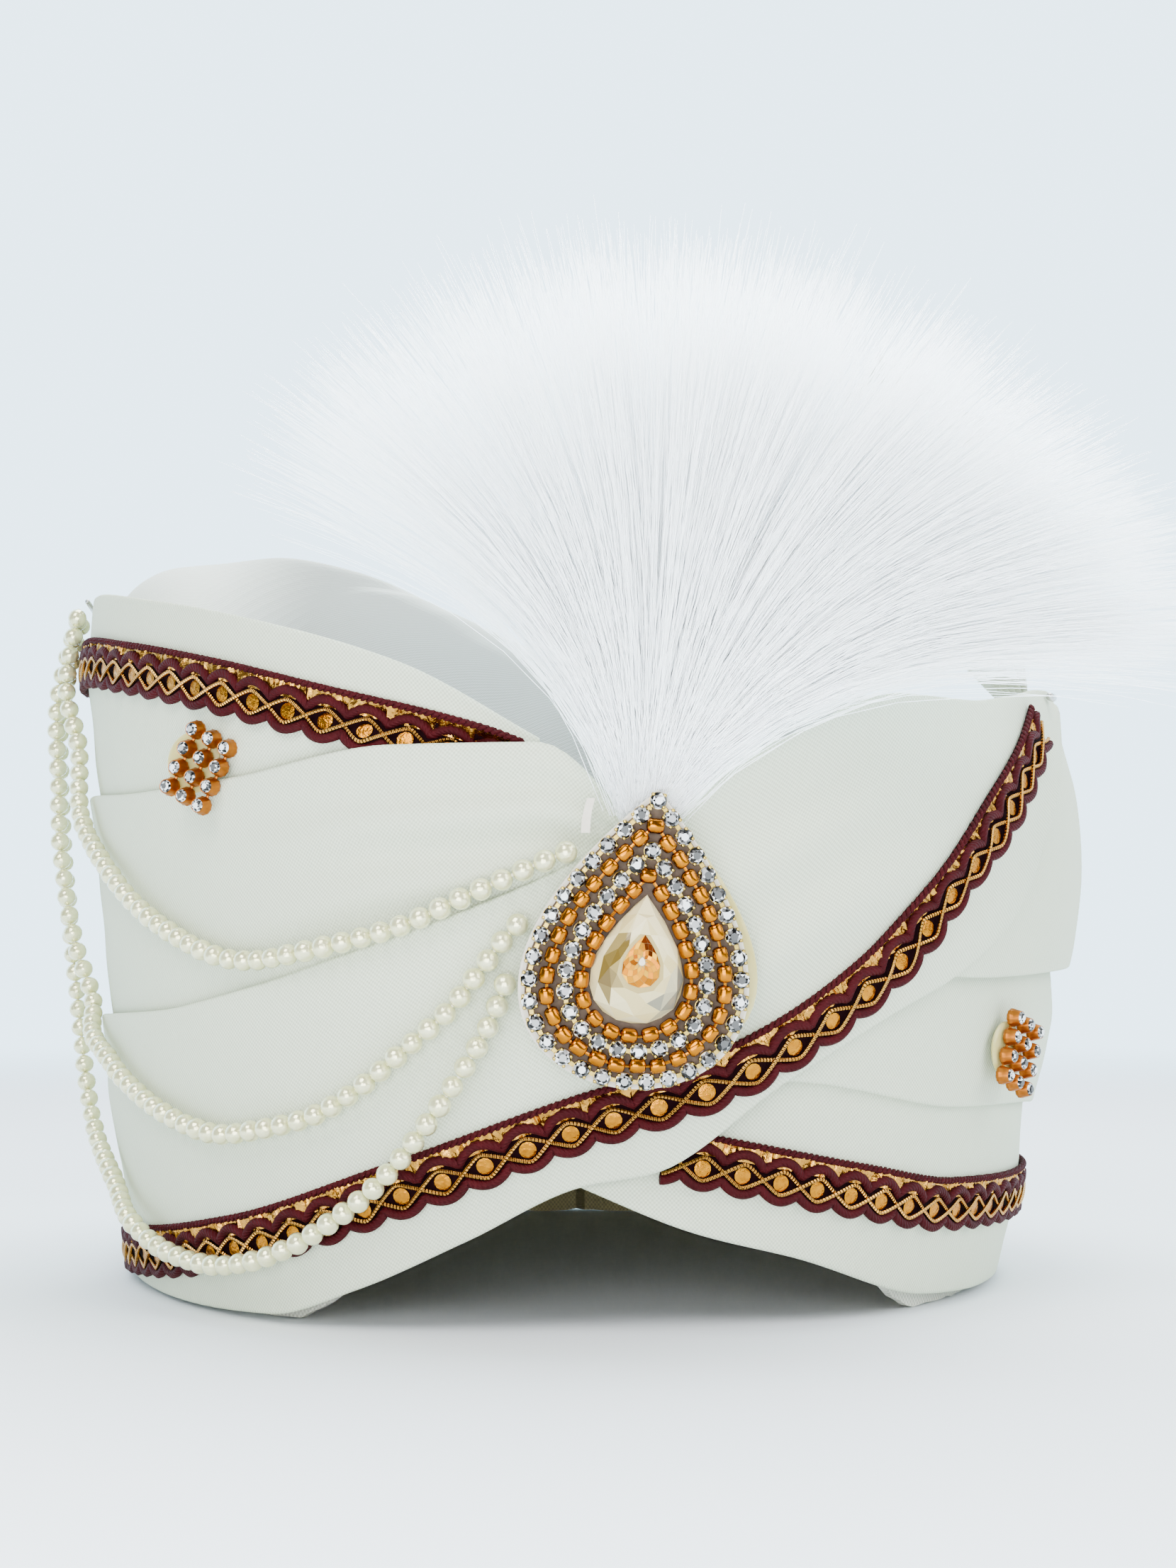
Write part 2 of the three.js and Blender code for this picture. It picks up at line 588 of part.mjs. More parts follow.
// Closed band of the cup chain with its stones on it
function stoneRingGeometry(ring) {
  const { width, height, band, bandHeight } = ring;
  const outside = teardropPoints(OUTLINE_POINTS.ring, width + band, height + band);
  const inside = teardropPoints(OUTLINE_POINTS.ring, width - band, height - band);
  const profile = [[0, -CUT.sunk], ...stoneProfile(ring.stone / 2, -CUT.sunk)];
  const places = teardropPoints(ring.count, width, height);
  const stones = places.map(({ x, y }) => eightSided(profile, x, y, bandHeight));
  return fuse([plateGeometry(outside, bandHeight, inside), ...stones]);
}

// Faceted teardrop: girdle, two tiers of crown facets and a table
function centreStoneGeometry() {
  const { width, height, depth, girdle, sides, footScale, crownScale, tableScale } = CENTRE_STONE;
  const tier = (scale, z) => Array.from({ length: sides }, (unused, i) => {
    const p = teardrop((2 * Math.PI * i) / sides, width * scale, height * scale);
    return new THREE.Vector3(p.x, p.y, z);
  });
  const rings = [
    tier(footScale, 0), tier(1, 0.4 * girdle), tier(1, girdle),
    tier(crownScale, lerp(girdle, depth, 0.5)), tier(tableScale, depth),
  ];
  const cap = Array.from({ length: sides - 2 }, (unused, i) => [0, i + 1, i + 2]);
  return loft(rings, cap);
}

// Plate of cups, each with its stone
function clusterGeometry() {
  const { columns, rows, pitch, cup, cupHeight, plate, stone } = CLUSTER;
  const solids = [];
  const halfWidth = ((columns - 1) * pitch + cup * PLATE_REACH) / 2;
  const halfHeight = ((rows - 1) * pitch + cup * PLATE_REACH) / 2;
  const signs = [[-1, -1], [1, -1], [1, 1], [-1, 1]];
  const corners = signs.map(([x, y]) => new THREE.Vector2(x * halfWidth, y * halfHeight));
  solids.push(plateGeometry(corners, plate));
  const holder = [
    [0, 0], [(CUP_FOOT * cup) / 2, 0], [cup / 2, cupHeight], ...stoneProfile(stone / 2, cupHeight),
  ];
  for (let c = 0; c < columns; c += 1) {
    for (let r = 0; r < rows; r += 1) {
      const x = (c - (columns - 1) / 2) * pitch;
      const y = (r - (rows - 1) / 2) * pitch;
      solids.push(eightSided(holder, x, y, plate / 2));
    }
  }
  return fuse(solids);
}

// One flat lock of the plume, curling outward from the head
function lockGeometry(share, layer) {
  const { base, leftAngle, rightAngle, rootWidth, width, thickness, steps, curl, lean } = PLUME;
  const finish = radians(lerp(leftAngle, rightAngle, share));
  const start = finish * PLUME.startShare + radians(PLUME.startTurn);
  const length = sample(PLUME_LENGTHS, 'at', share, 'length');
  const bow = radians(curl) * (share - PLUME.straightShare);
  const tilt = new THREE.Matrix4().makeRotationX(-radians(lean));
  let at = new THREE.Vector3(...base);
  const rings = [];
  for (let k = 0; k <= steps; k += 1) {
    const s = k / steps;
    const heading = lerp(start, finish, Math.min(1, 1.5 * s)) + bow * s * s;
    const along = new THREE.Vector3(Math.sin(heading), 0, Math.cos(heading)).applyMatrix4(tilt);
    const across = new THREE.Vector3(Math.cos(heading), 0, -Math.sin(heading)).applyMatrix4(tilt);
    const face = new THREE.Vector3().crossVectors(across, along).normalize();
    if (k > 0) at = at.clone().addScaledVector(along, length / steps);
    const spread = Math.sin(Math.min(1, 1.25 * s) * Math.PI / 2);
    const halfWidth = (lerp(rootWidth, width, spread) / 2) * (k === steps ? PLUME.tipWidth : 1);
    const halfDepth = (thickness / 2) * (k === steps ? PLUME.tipDepth : 1);
    const centre = at.clone().addScaledVector(face, layer);
    rings.push([
      centre.clone().addScaledVector(across, -halfWidth), centre.clone().addScaledVector(face, halfDepth),
      centre.clone().addScaledVector(across, halfWidth), centre.clone().addScaledVector(face, -halfDepth),
    ]);
  }
  return loft(rings, [[0, 1, 2], [0, 2, 3]]);
}

function plumeGeometry() {
  const head = new THREE.SphereGeometry(PLUME.head / 2, 10, 6);
  head.scale(...PLUME_HEAD_STRETCH);
  head.translate(...PLUME.base);
  const locks = Array.from({ length: PLUME.locks }, (unused, i) => (
    lockGeometry(i / (PLUME.locks - 1), (i % 2 === 0 ? 1 : -1) * PLUME.layer)
  ));
  return fuse([head, ...locks]);
}

// Knife pleats that stand up from a narrow root and open into a fan
function turraGeometry() {
  const { base, leftAngle, rightAngle, pleats, rowsUp, lean, rootHalf, rootAlong, fold, rootFold } = TURRA;
  const columns = pleats * 2;
  const back = radians(lean);
  const face = new THREE.Vector3(0, -Math.cos(back), Math.sin(back));
  const sheet = (side) => {
    const rows = [];
    for (let v = 0; v <= rowsUp; v += 1) {
      const rise = v / rowsUp;
      const row = [];
      for (let u = 0; u <= columns; u += 1) {
        const share = u / columns;
        const heading = radians(lerp(leftAngle, rightAngle, share));
        const length = sample(TURRA_LENGTHS, 'at', share, 'length') * rise;
        const root = lerp(-rootHalf, rootHalf, share);
        const p = new THREE.Vector3(...base);
        p.x += root * rootAlong[0] + length * Math.sin(heading);
        p.y += root * rootAlong[1] + length * Math.cos(heading) * Math.sin(back);
        p.z += length * Math.cos(heading) * Math.cos(back);
        const zigzag = (u % 2 === 0 ? -1 : 1) * fold * lerp(rootFold, 1, rise);
        row.push(p.addScaledVector(face, zigzag + side * CLOTH / 2));
      }
      rows.push(row);
    }
    return rows;
  };
  const front = sheet(1);
  const rear = sheet(-1);
  const rings = front.map((row, v) => [...row, ...[...rear[v]].reverse()]);
  const total = rings[0].length;
  const cap = [];
  for (let u = 0; u < columns; u += 1) {
    cap.push([u, u + 1, total - 2 - u], [u, total - 2 - u, total - 1 - u]);
  }
  return loft(rings, cap);
}

// Assembly

function finish(color, roughness, metalness = 0) {
  return new THREE.MeshStandardMaterial({ color, roughness, metalness });
}
const FINISHES = {
  cotton: finish(COLOURS.cotton, 0.9),
  gauze: finish(COLOURS.gauze, 0.95),
  braid: finish(COLOURS.maroon, 0.6, 0.2),
  pearl: finish(COLOURS.pearl, 0.3),
  bristle: finish(COLOURS.bristle, 0.5),
  gold: finish(COLOURS.gold, 0.35, 1),
  stone: finish(COLOURS.champagne, 0.08),
  copper: finish(COLOURS.copper, 0.35, 1),
  glue: finish(COLOURS.glue, 0.25),
  steel: finish(COLOURS.steel, 0.3, 1),
};

function part(name, geometry, material) {
  const mesh = new THREE.Mesh(geometry, material);
  mesh.name = name;
  return mesh;
}

// Nested groups that seat a flat ornament: turned to face out of the cloth, pitched, then rolled clockwise
function mountGroup(position, yaw, pitch, roll) {
  const holder = new THREE.Group();
  holder.position.copy(position);
  holder.rotation.z = radians(yaw);
  const group = new THREE.Group();
  group.rotation.x = radians(90 + pitch);
  group.rotateZ(radians(-roll));
  holder.add(group);
  return { holder, group };
}

const turban = new THREE.Group();
turban.add(part('lining', liningGeometry(), FINISHES.gauze));
turban.add(part('crown', crownGeometry(), FINISHES.cotton));
turban.add(part('upper_wrap', wrapGeometry(UPPER_ROWS), FINISHES.cotton));
turban.add(part('middle_wrap', wrapGeometry(MIDDLE_ROWS), FINISHES.cotton));
turban.add(part('lower_wrap', wrapGeometry(LOWER_ROWS), FINISHES.cotton));
turban.add(part('trim_upper', trimGeometry(TRIM_UPPER_ROWS, UPPER_ROWS), FINISHES.braid));
turban.add(part('trim_lower', trimGeometry(TRIM_LOWER_ROWS, LOWER_ROWS), FINISHES.braid));
turban.add(part('turra', turraGeometry(), FINISHES.cotton));
for (const { name, rows } of PEARL_STRINGS) turban.add(part(name, pearlStringGeometry(rows), FINISHES.pearl));
turban.add(part('plume', plumeGeometry(), FINISHES.bristle));

const broochSeat = new THREE.Vector3(BROOCH.x, BROOCH.y, BROOCH.z);
const brooch = mountGroup(broochSeat, BROOCH.yaw, BROOCH.pitch, BROOCH.roll);
const broochOutline = teardropPoints(OUTLINE_POINTS.backing, BROOCH.width, BROOCH.height);
const backing = plateGeometry(broochOutline, BROOCH.backing);
brooch.group.add(part('brooch_backing', backing, FINISHES.gold));
const ringSeat = BROOCH.backing + BROOCH.seat;
for (const [name, ring] of [['brooch_ring_outer', RING_OUTER], ['brooch_ring_inner', RING_INNER]]) {
  const mesh = part(name, stoneRingGeometry(ring), FINISHES.gold);
  mesh.position.set(0, ring.drop, ringSeat);
  brooch.group.add(mesh);
}
const centre = part('centre_stone', centreStoneGeometry(), FINISHES.stone);
centre.position.set(0, CENTRE_STONE.drop, ringSeat);
brooch.group.add(centre);
const padOutline = teardropPoints(OUTLINE_POINTS.pad, BROOCH_PAD.width, BROOCH_PAD.height);
const broochPad = part('brooch_pad', plateGeometry(padOutline, BROOCH_PAD.thickness), FINISHES.glue);
broochPad.position.set(BROOCH_PAD.shift, 0, -BROOCH_PAD.thickness - BROOCH.seat);
brooch.group.add(broochPad);
turban.add(brooch.holder);

for (const { name, angle, z, standoff, turn, roll, padShift } of CLUSTERS) {
  const normal = outward(angle);
  const seat = place(angle, z, standoff);
  const yaw = THREE.MathUtils.radToDeg(Math.atan2(normal.x, -normal.y));
  const mount = mountGroup(seat, yaw + turn, 0, roll);
  mount.group.add(part(name, clusterGeometry(), FINISHES.copper));
  const pad = new THREE.CylinderGeometry(PAD.radius, PAD.radius, PAD.thickness, PAD.sides);
  pad.rotateX(Math.PI / 2);
  const disc = part(`${name}_pad`, pad, FINISHES.glue);
  disc.position.set(padShift, 0, -PAD.thickness / 2 - PAD.seat);
  mount.group.add(disc);
  turban.add(mount.holder);
}

for (const pin of [STRING_PIN, SHOULDER_PIN]) {
  const mesh = part(pin.name, new THREE.CapsuleGeometry(pin.radius, pin.length, 2, 6), FINISHES.steel);
  mesh.position.copy(place(pin.angle, pin.z, wrapOff(pin.carrier, pin.angle, pin.z) + pin.radius + GAP));
  const normal = outward(pin.angle);
  mesh.rotation.z = Math.atan2(-normal.x, normal.y) + Math.PI / 2;
  turban.add(mesh);
}

export default turban;
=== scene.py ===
"""Dress a tied turban: cream cotton wraps over a puffed crown, braided trim, pearl strings, a bristle plume,
a teardrop brooch, a pleated turra and two stone ornaments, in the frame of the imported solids.

Sizes are millimetres until a mesh is made. A place on the cloth is a plan angle in degrees (0 at the front,
positive to +X, running on past -180 round the back), a height, and a distance off the core oval.
"""

import logging
import math
from dataclasses import dataclass, field
from enum import Enum
from typing import Sequence

import bmesh
import bpy
import numpy as np
from mathutils import Matrix, Vector

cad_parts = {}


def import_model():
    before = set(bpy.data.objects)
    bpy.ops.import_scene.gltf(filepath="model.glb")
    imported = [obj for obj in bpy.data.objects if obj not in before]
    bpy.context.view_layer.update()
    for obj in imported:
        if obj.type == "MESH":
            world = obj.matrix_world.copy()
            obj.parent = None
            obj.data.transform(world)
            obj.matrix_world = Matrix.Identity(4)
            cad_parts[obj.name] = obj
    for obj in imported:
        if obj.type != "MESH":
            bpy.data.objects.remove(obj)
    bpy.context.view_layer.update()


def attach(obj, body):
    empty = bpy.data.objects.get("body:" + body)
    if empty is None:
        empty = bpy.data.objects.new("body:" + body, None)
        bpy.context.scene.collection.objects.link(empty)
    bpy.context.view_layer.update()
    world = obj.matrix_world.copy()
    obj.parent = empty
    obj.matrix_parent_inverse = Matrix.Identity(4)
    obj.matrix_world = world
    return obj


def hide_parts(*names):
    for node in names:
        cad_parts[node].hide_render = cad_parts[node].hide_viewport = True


LOG = logging.getLogger("turban")
MM = 0.001
BODY = "root"
THREAD_UV = "thread_mm"
FACET_TONE = "facet_tone"
# Painted reflections of foiled cut glass: the tones a facet can take, and how often each comes
FACET_REFLECTIONS = (0.004, 0.02, 0.1, 0.34, 0.9)
FACET_ODDS = (0.26, 0.2, 0.18, 0.16, 0.2)
Array = np.ndarray


class Slot(Enum):
    """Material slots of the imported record."""

    COTTON = "cotton"
    GAUZE = "gauze"
    BRAID = "braid"
    PEARL = "pearl"
    BRISTLE = "bristle"
    GOLD = "gold"
    STONE = "stone"
    COPPER = "copper"
    GLUE = "glue"
    STEEL = "steel"


class Hold(Enum):
    """How a sheet of cloth is held."""

    GATHERED = "gathered"
    FOLDED = "folded"
    STRETCHED = "stretched"


# Numbers and tables


def smooth(share: Array | float) -> Array:
    """Ease a share from 0 to 1 with level ends."""
    share = np.clip(share, 0.0, 1.0)
    return share * share * (3.0 - 2.0 * share)


def lerp(start: Array | float, end: Array | float, share: Array | float) -> Array:
    """Mix two values by a share."""
    return start + (end - start) * share


def unit(vectors: Array) -> Array:
    """Vectors scaled to a length of 1."""
    return vectors / np.maximum(np.linalg.norm(vectors, axis=-1, keepdims=True), 1e-12)


def zigzag(turn: Array, crease: float) -> Array:
    """Swing between 1 and -1 once in each turn, straighter and sharper as the crease nears 1."""
    return np.arcsin(crease * np.cos(turn)) / math.asin(crease)


class Table:
    """Rows of a key and named columns, read between rows by a cubic that never overshoots them."""

    def __init__(self, columns: str, rows: Sequence[tuple[float, ...]]) -> None:
        """Sort the rows by their key.

        Args:
            columns: the columns' names, the key first.
            rows: one tuple for each section.
        """
        values = np.array(sorted(rows), float)
        self.keys = values[:, 0]
        self.columns = dict(zip(columns.split(), values.T))

    def at(self, column: str, key: Array | float) -> Array:
        """Read a column.

        Args:
            column: the column's name.
            key: where to read it; past the ends the end value holds.

        Returns:
            The column's value at each key.
        """
        x, y = self.keys, self.columns[column]
        slope = np.diff(y) / np.diff(x)
        tangent = np.concatenate([slope[:1], np.zeros(len(x) - 2), slope[-1:]])
        before, after = slope[:-1], slope[1:]
        agree = before * after > 0
        tangent[1:-1][agree] = (2 * before * after)[agree] / (before + after)[agree]
        key = np.clip(np.asarray(key, float), x[0], x[-1])
        i = np.clip(np.searchsorted(x, key, side="right") - 1, 0, len(x) - 2)
        span = x[i + 1] - x[i]
        u = (key - x[i]) / span
        start = (1 + 2 * u) * (1 - u) ** 2 * y[i] + u * (1 - u) ** 2 * span * tangent[i]
        return start + u * u * (3 - 2 * u) * y[i + 1] + u * u * (u - 1) * span * tangent[i + 1]


class Ripples:
    """Smooth seeded noise over a plane, from -1 to 1."""

    SIZE = 64

    def __init__(self, seed: int) -> None:
        """Draw the lattice that the noise runs between."""
        self.lattice = np.random.default_rng(seed).uniform(-1.0, 1.0, (self.SIZE, self.SIZE))

    def at(self, x: Array | float, y: Array | float) -> Array:
        """Read the noise.

        Args:
            x: place along the first axis, in cells of the lattice.
            y: place along the second axis, in cells of the lattice.

        Returns:
            The noise at each place.
        """
        x, y = np.broadcast_arrays(np.asarray(x, float), np.asarray(y, float))
        i, j = np.floor(x).astype(int), np.floor(y).astype(int)
        u, v = smooth(x - i), smooth(y - j)
        here, ahead, low, high = i % self.SIZE, (i + 1) % self.SIZE, j % self.SIZE, (j + 1) % self.SIZE
        near = lerp(self.lattice[here, low], self.lattice[ahead, low], u)
        far = lerp(self.lattice[here, high], self.lattice[ahead, high], u)
        return lerp(near, far, v)


@dataclass(frozen=True)
class Core:
    """The oval that the lining follows: half axes at the rest plane, and their growth with height."""

    side: float = 83.0
    front: float = 98.0
    back: float = 100.0
    growth: float = 0.05

    def place(self, angle: Array | float, z: Array | float, off: Array | float) -> Array:
        """Point at a plan angle and height, a distance off the core.

        Args:
            angle: plan angle in degrees.
            z: height.
            off: distance off the core.

        Returns:
            Points in millimetres, one row each.
        """
        turn = np.radians(angle)
        swell = self.growth * np.asarray(z, float) + off
        depth = np.where(np.cos(turn) > 0, self.front, self.back) + swell
        parts = ((self.side + swell) * np.sin(turn), -depth * np.cos(turn), np.asarray(z, float))
        return np.stack(np.broadcast_arrays(*parts), axis=-1)

    def outward(self, angle: Array | float) -> Array:
        """Level direction that faces out of the oval.

        Args:
            angle: plan angle in degrees.

        Returns:
            A unit vector for each angle.
        """
        angle = np.asarray(angle)
        along = unit(self.place(angle + 0.5, 0.0, 0.0) - self.place(angle - 0.5, 0.0, 0.0))
        return np.stack([along[..., 1], -along[..., 0], np.zeros_like(along[..., 0])], axis=-1)


CORE = Core()


# Meshes


def grid_faces(rows: int, columns: int, closed: bool = False, round_rows: bool = False) -> Array:
    """Quads of a grid of points.

    Args:
        rows: how many rows of points.
        columns: how many points in a row.
        closed: whether each row closes on itself.
        round_rows: whether the last row joins the first.

    Returns:
        One row of four indices for each quad.
    """
    r = np.arange(rows if round_rows else rows - 1)[:, None]
    c = np.arange(columns if closed else columns - 1)[None, :]
    near, far = (r % rows) * columns, ((r + 1) % rows) * columns
    here, there = c % columns, (c + 1) % columns
    quads = np.broadcast_arrays(near + here, near + there, far + there, far + here)
    return np.stack(quads, -1).reshape(-1, 4)


def capped_rings(count: int, sides: int) -> list[list[int]]:
    """Faces of a stack of closed rings of points, with a cap on each end.

    Args:
        count: how many rings.
        sides: how many points in a ring.

    Returns:
        The quads, then the first ring's cap and the last ring's.
    """
    last = (count - 1) * sides
    caps = [list(range(sides))[::-1], [last + k for k in range(sides)]]
    return grid_faces(count, sides, closed=True).tolist() + caps


def run_along(path: Array) -> Array:
    """Length of a path up to each of its points."""
    return np.concatenate([[0.0], np.cumsum(np.linalg.norm(np.diff(path, axis=0), axis=1))])


def tube(path: Array, normal: Array, radius: float | Array, sides: int) -> tuple[Array, list, Array]:
    """Round tube along a path, with closed ends.

    Args:
        path: points along the middle.
        normal: a direction across the path at each point; the seam lies on its far side.
        radius: one radius, or one at each point.
        sides: how many sides.

    Returns:
        Points, faces, and a place along and around the tube for each point.
    """
    along = unit(np.gradient(path, axis=0))
    side = unit(np.cross(along, normal))
    up = np.cross(side, along)
    turn = np.linspace(0, 2 * math.pi, sides, endpoint=False) + math.pi
    reach = np.broadcast_to(np.asarray(radius, float), len(path))[:, None, None]
    ring = np.cos(turn)[None, :, None] * up[:, None] + np.sin(turn)[None, :, None] * side[:, None]
    points = (path[:, None] + reach * ring).reshape(-1, 3)
    across = (turn - math.pi) * float(np.mean(radius))
    uv = np.stack(np.broadcast_arrays(run_along(path)[:, None], across[None, :]), -1).reshape(-1, 2)
    return points, capped_rings(len(path), sides), uv


def lathe(profile: Sequence[tuple[float, float]], sides: int, flutes: int = 0,
          flute: float = 0.0) -> tuple[Array, list]:
    """Solid turned round the local z axis from a profile that starts and ends on it.

    Args:
        profile: radius and height of each ring; the two poles have a radius of 0.
        sides: how many sides.
        flutes: how many flutes run round the widest rings.
        flute: how deep a flute is cut, as a share of the radius.

    Returns:
        Points and faces.
    """
    turn = np.linspace(0, 2 * math.pi, sides, endpoint=False)
    inner = np.array(profile[1:-1])
    widest = inner[:, 0].max()
    cut = 1 - flute * (0.5 - 0.5 * np.cos(flutes * turn))[None, :] * (inner[:, :1] > 0.9 * widest)
    x, y = inner[:, :1] * cut * np.cos(turn), inner[:, :1] * cut * np.sin(turn)
    rings = np.stack(np.broadcast_arrays(x, y, inner[:, 1:]), -1).reshape(-1, 3)
    points = np.concatenate([rings, [[0, 0, profile[0][1]], [0, 0, profile[-1][1]]]])
    faces = grid_faces(len(inner), sides, closed=True).tolist()
    low, high, top = len(rings), len(rings) + 1, (len(inner) - 1) * sides
    faces += [[(k + 1) % sides, k, low] for k in range(sides)]
    faces += [[top + k, top + (k + 1) % sides, high] for k in range(sides)]
    return points, faces


class Sketch:
    """Points and faces gathered for one piece, in millimetres."""

    def __init__(self) -> None:
        """Start with nothing."""
        self.points: list[Array] = []
        self.uv: list[Array] = []
        self.faces: list[list[int]] = []
        self.finish: list[int] = []
        self.tones: list[tuple[float, float, float]] = []
        self.count = 0

    def add(self, points: Array, faces: list | Array, uv: Array | None = None, finish: int = 0,
            tones: Sequence[tuple[float, float, float]] | None = None) -> None:
        """Add a mesh.

        Args:
            points: its points.
            faces: its faces, as indices into its own points.
            uv: a place on the thread map for each point.
            finish: which of the piece's finishes its faces take.
            tones: a linear colour for each face: painted reflections on cut glass, the foil's orange in the
                heart, painted shade on the crown.
        """
        points = np.asarray(points, float).reshape(-1, 3)
        if isinstance(faces, np.ndarray):
            shifted = (faces + self.count).tolist()
        else:
            shifted = [[k + self.count for k in face] for face in faces]
        self.points.append(points)
        self.uv.append(np.zeros((len(points), 2)) if uv is None else np.asarray(uv, float))
        self.faces.extend(shifted)
        self.finish.extend([finish] * len(shifted))
        self.tones.extend(tones if tones is not None else [(1.0, 1.0, 1.0)] * len(shifted))
        self.count += len(points)

    def piece(self, name: str, finishes: Sequence["Finish"], sharp_deg: float = 40.0) -> bpy.types.Object:
        """Turn what was gathered into an object.

        Args:
            name: the piece's name.
            finishes: the finishes that its faces point at.
            sharp_deg: edges that bend more than this stay sharp.

        Returns:
            The object, in metres.
        """
        mesh = bpy.data.meshes.new(name)
        mesh.from_pydata((np.concatenate(self.points) * MM).tolist(), [], self.faces)
        corner = np.empty(len(mesh.loops), np.int32)
        mesh.loops.foreach_get("vertex_index", corner)
        layer = mesh.uv_layers.new(name=THREAD_UV)
        layer.uv.foreach_set("vector", np.concatenate(self.uv)[corner].astype(np.float32).ravel())
        mesh.polygons.foreach_set("material_index", np.array(self.finish, np.int32))
        tone = mesh.attributes.new(FACET_TONE, "FLOAT_COLOR", "FACE")
        colours = np.ones((len(self.tones), 4), np.float32)
        colours[:, :3] = self.tones
        tone.data.foreach_set("color", colours.ravel())
        work = bmesh.new()
        work.from_mesh(mesh)
        bmesh.ops.recalc_face_normals(work, faces=work.faces)
        work.to_mesh(mesh)
        work.free()
        mesh.polygons.foreach_set("use_smooth", np.ones(len(mesh.polygons), bool))
        mesh.set_sharp_from_angle(angle=math.radians(sharp_deg))
        for finish in finishes:
            mesh.materials.append(finish.material())
        made = bpy.data.objects.new(name, mesh)
        bpy.context.scene.collection.objects.link(made)
        return made


def mount(piece: bpy.types.Object, slot: Slot, *nodes: str) -> bpy.types.Object:
    """Let a piece ride on the turban.

    Args:
        piece: the piece.
        slot: the record's slot that its finish stands for; not used.
        nodes: the solids that it stands for.

    Returns:
        The piece.
    """
    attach(piece, BODY)
    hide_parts(*nodes)
    LOG.info("%s: %d faces for %s", piece.name, len(piece.data.polygons), ", ".join(nodes))
    return piece


# Finishes


def linear(colour: str) -> tuple[float, float, float, float]:
    """Turn an sRGB hex colour into a linear one.

    Args:
        colour: six hex digits.

    Returns:
        Red, green, blue and alpha.
    """
    parts = [int(colour[k:k + 2], 16) / 255 for k in (0, 2, 4)]
    return (*[p / 12.92 if p <= 0.04045 else ((p + 0.055) / 1.055) ** 2.4 for p in parts], 1.0)


def add_node(tree: bpy.types.NodeTree, kind: str, inputs: dict | None = None,
             **settings: object) -> bpy.types.Node:
    """Add a node with its settings, and with values or links on its inputs.

    Args:
        tree: the material's node tree.
        kind: the node's type.
        inputs: a value or an output socket for each input, by name or number.
        settings: the node's own properties.

    Returns:
        The node.
    """
    node = tree.nodes.new(kind)
    for name, value in settings.items():
        setattr(node, name, value)
    for key, value in (inputs or {}).items():
        if isinstance(value, bpy.types.NodeSocket):
            tree.links.new(value, node.inputs[key])
        else:
            node.inputs[key].default_value = value
    return node


def wave_scale(pitch_mm: float) -> float:
    """Scale of a wave texture whose bands repeat once in a pitch; at 1 they repeat every 2 pi / 20."""
    return 2 * math.pi / (20 * pitch_mm)


@dataclass(frozen=True)
class Finish:
    """A plain finish: one colour with a soft mottle, and the shader's own numbers."""

    name: str
    colour: str
    shade: str
    roughness: float = 0.5
    metallic: float = 0.0
    sheen: float = 0.0
    coat: float = 0.0
    ior: float = 1.5
    specular: float = 0.5
    mottle_mm: float = 20.0
    grain_mm: float = 0.4
    grain: float = 0.0

    def material(self) -> bpy.types.Material:
        """The finish's material, made once."""
        found = bpy.data.materials.get(self.name)
        return found if found else self.build()

    def build(self) -> bpy.types.Material:
        """Make the material with its shader, colour and relief.

        Returns:
            The material.
        """
        made = bpy.data.materials.new(self.name)
        made.use_nodes = True
        tree = made.node_tree
        shader = tree.nodes["Principled BSDF"]
        values = {"Roughness": self.roughness, "Metallic": self.metallic, "Sheen Weight": self.sheen,
                  "Coat Weight": self.coat, "Coat Roughness": 0.08, "Sheen Roughness": 0.5,
                  "Specular IOR Level": self.specular}
        if self.metallic == 0:
            values["IOR"] = self.ior
        for name, value in values.items():
            shader.inputs[name].default_value = value
        tree.links.new(self.tint(tree), shader.inputs["Base Color"])
        relief = self.relief(tree)
        if relief is not None:
            tree.links.new(relief, shader.inputs["Normal"])
        self.extras(tree, shader)
        return made

    def tint(self, tree: bpy.types.NodeTree) -> bpy.types.NodeSocket:
        """Let the colour drift between two tones at the mottle's size.

        Args:
            tree: the material's node tree.

        Returns:
            The colour.
        """
        place = add_node(tree, "ShaderNodeTexCoord")
        cloud = add_node(tree, "ShaderNodeTexNoise", {
            "Vector": place.outputs["Object"], "Scale": 1 / (self.mottle_mm * MM), "Detail": 2.0,
        })
        return add_node(tree, "ShaderNodeMix", {
            "Factor": cloud.outputs["Fac"], "A": linear(self.colour), "B": linear(self.shade),
        }, data_type="RGBA").outputs[2]

    def relief(self, tree: bpy.types.NodeTree) -> bpy.types.NodeSocket | None:
        """Raise a fine grain by a bump.

        Args:
            tree: the material's node tree.

        Returns:
            The normal, or nothing where the finish has no grain.
        """
        if self.grain == 0:
            return None
        place = add_node(tree, "ShaderNodeTexCoord")
        grit = add_node(tree, "ShaderNodeTexNoise", {
            "Vector": place.outputs["Object"], "Scale": 1 / (self.grain_mm * MM), "Detail": 3.0,
        })
        return add_node(tree, "ShaderNodeBump", {
            "Height": grit.outputs["Fac"], "Strength": 1.0, "Distance": self.grain * MM,
        }).outputs["Normal"]

    def extras(self, tree: bpy.types.NodeTree, shader: bpy.types.Node) -> None:
        """Set what only this kind of finish has."""


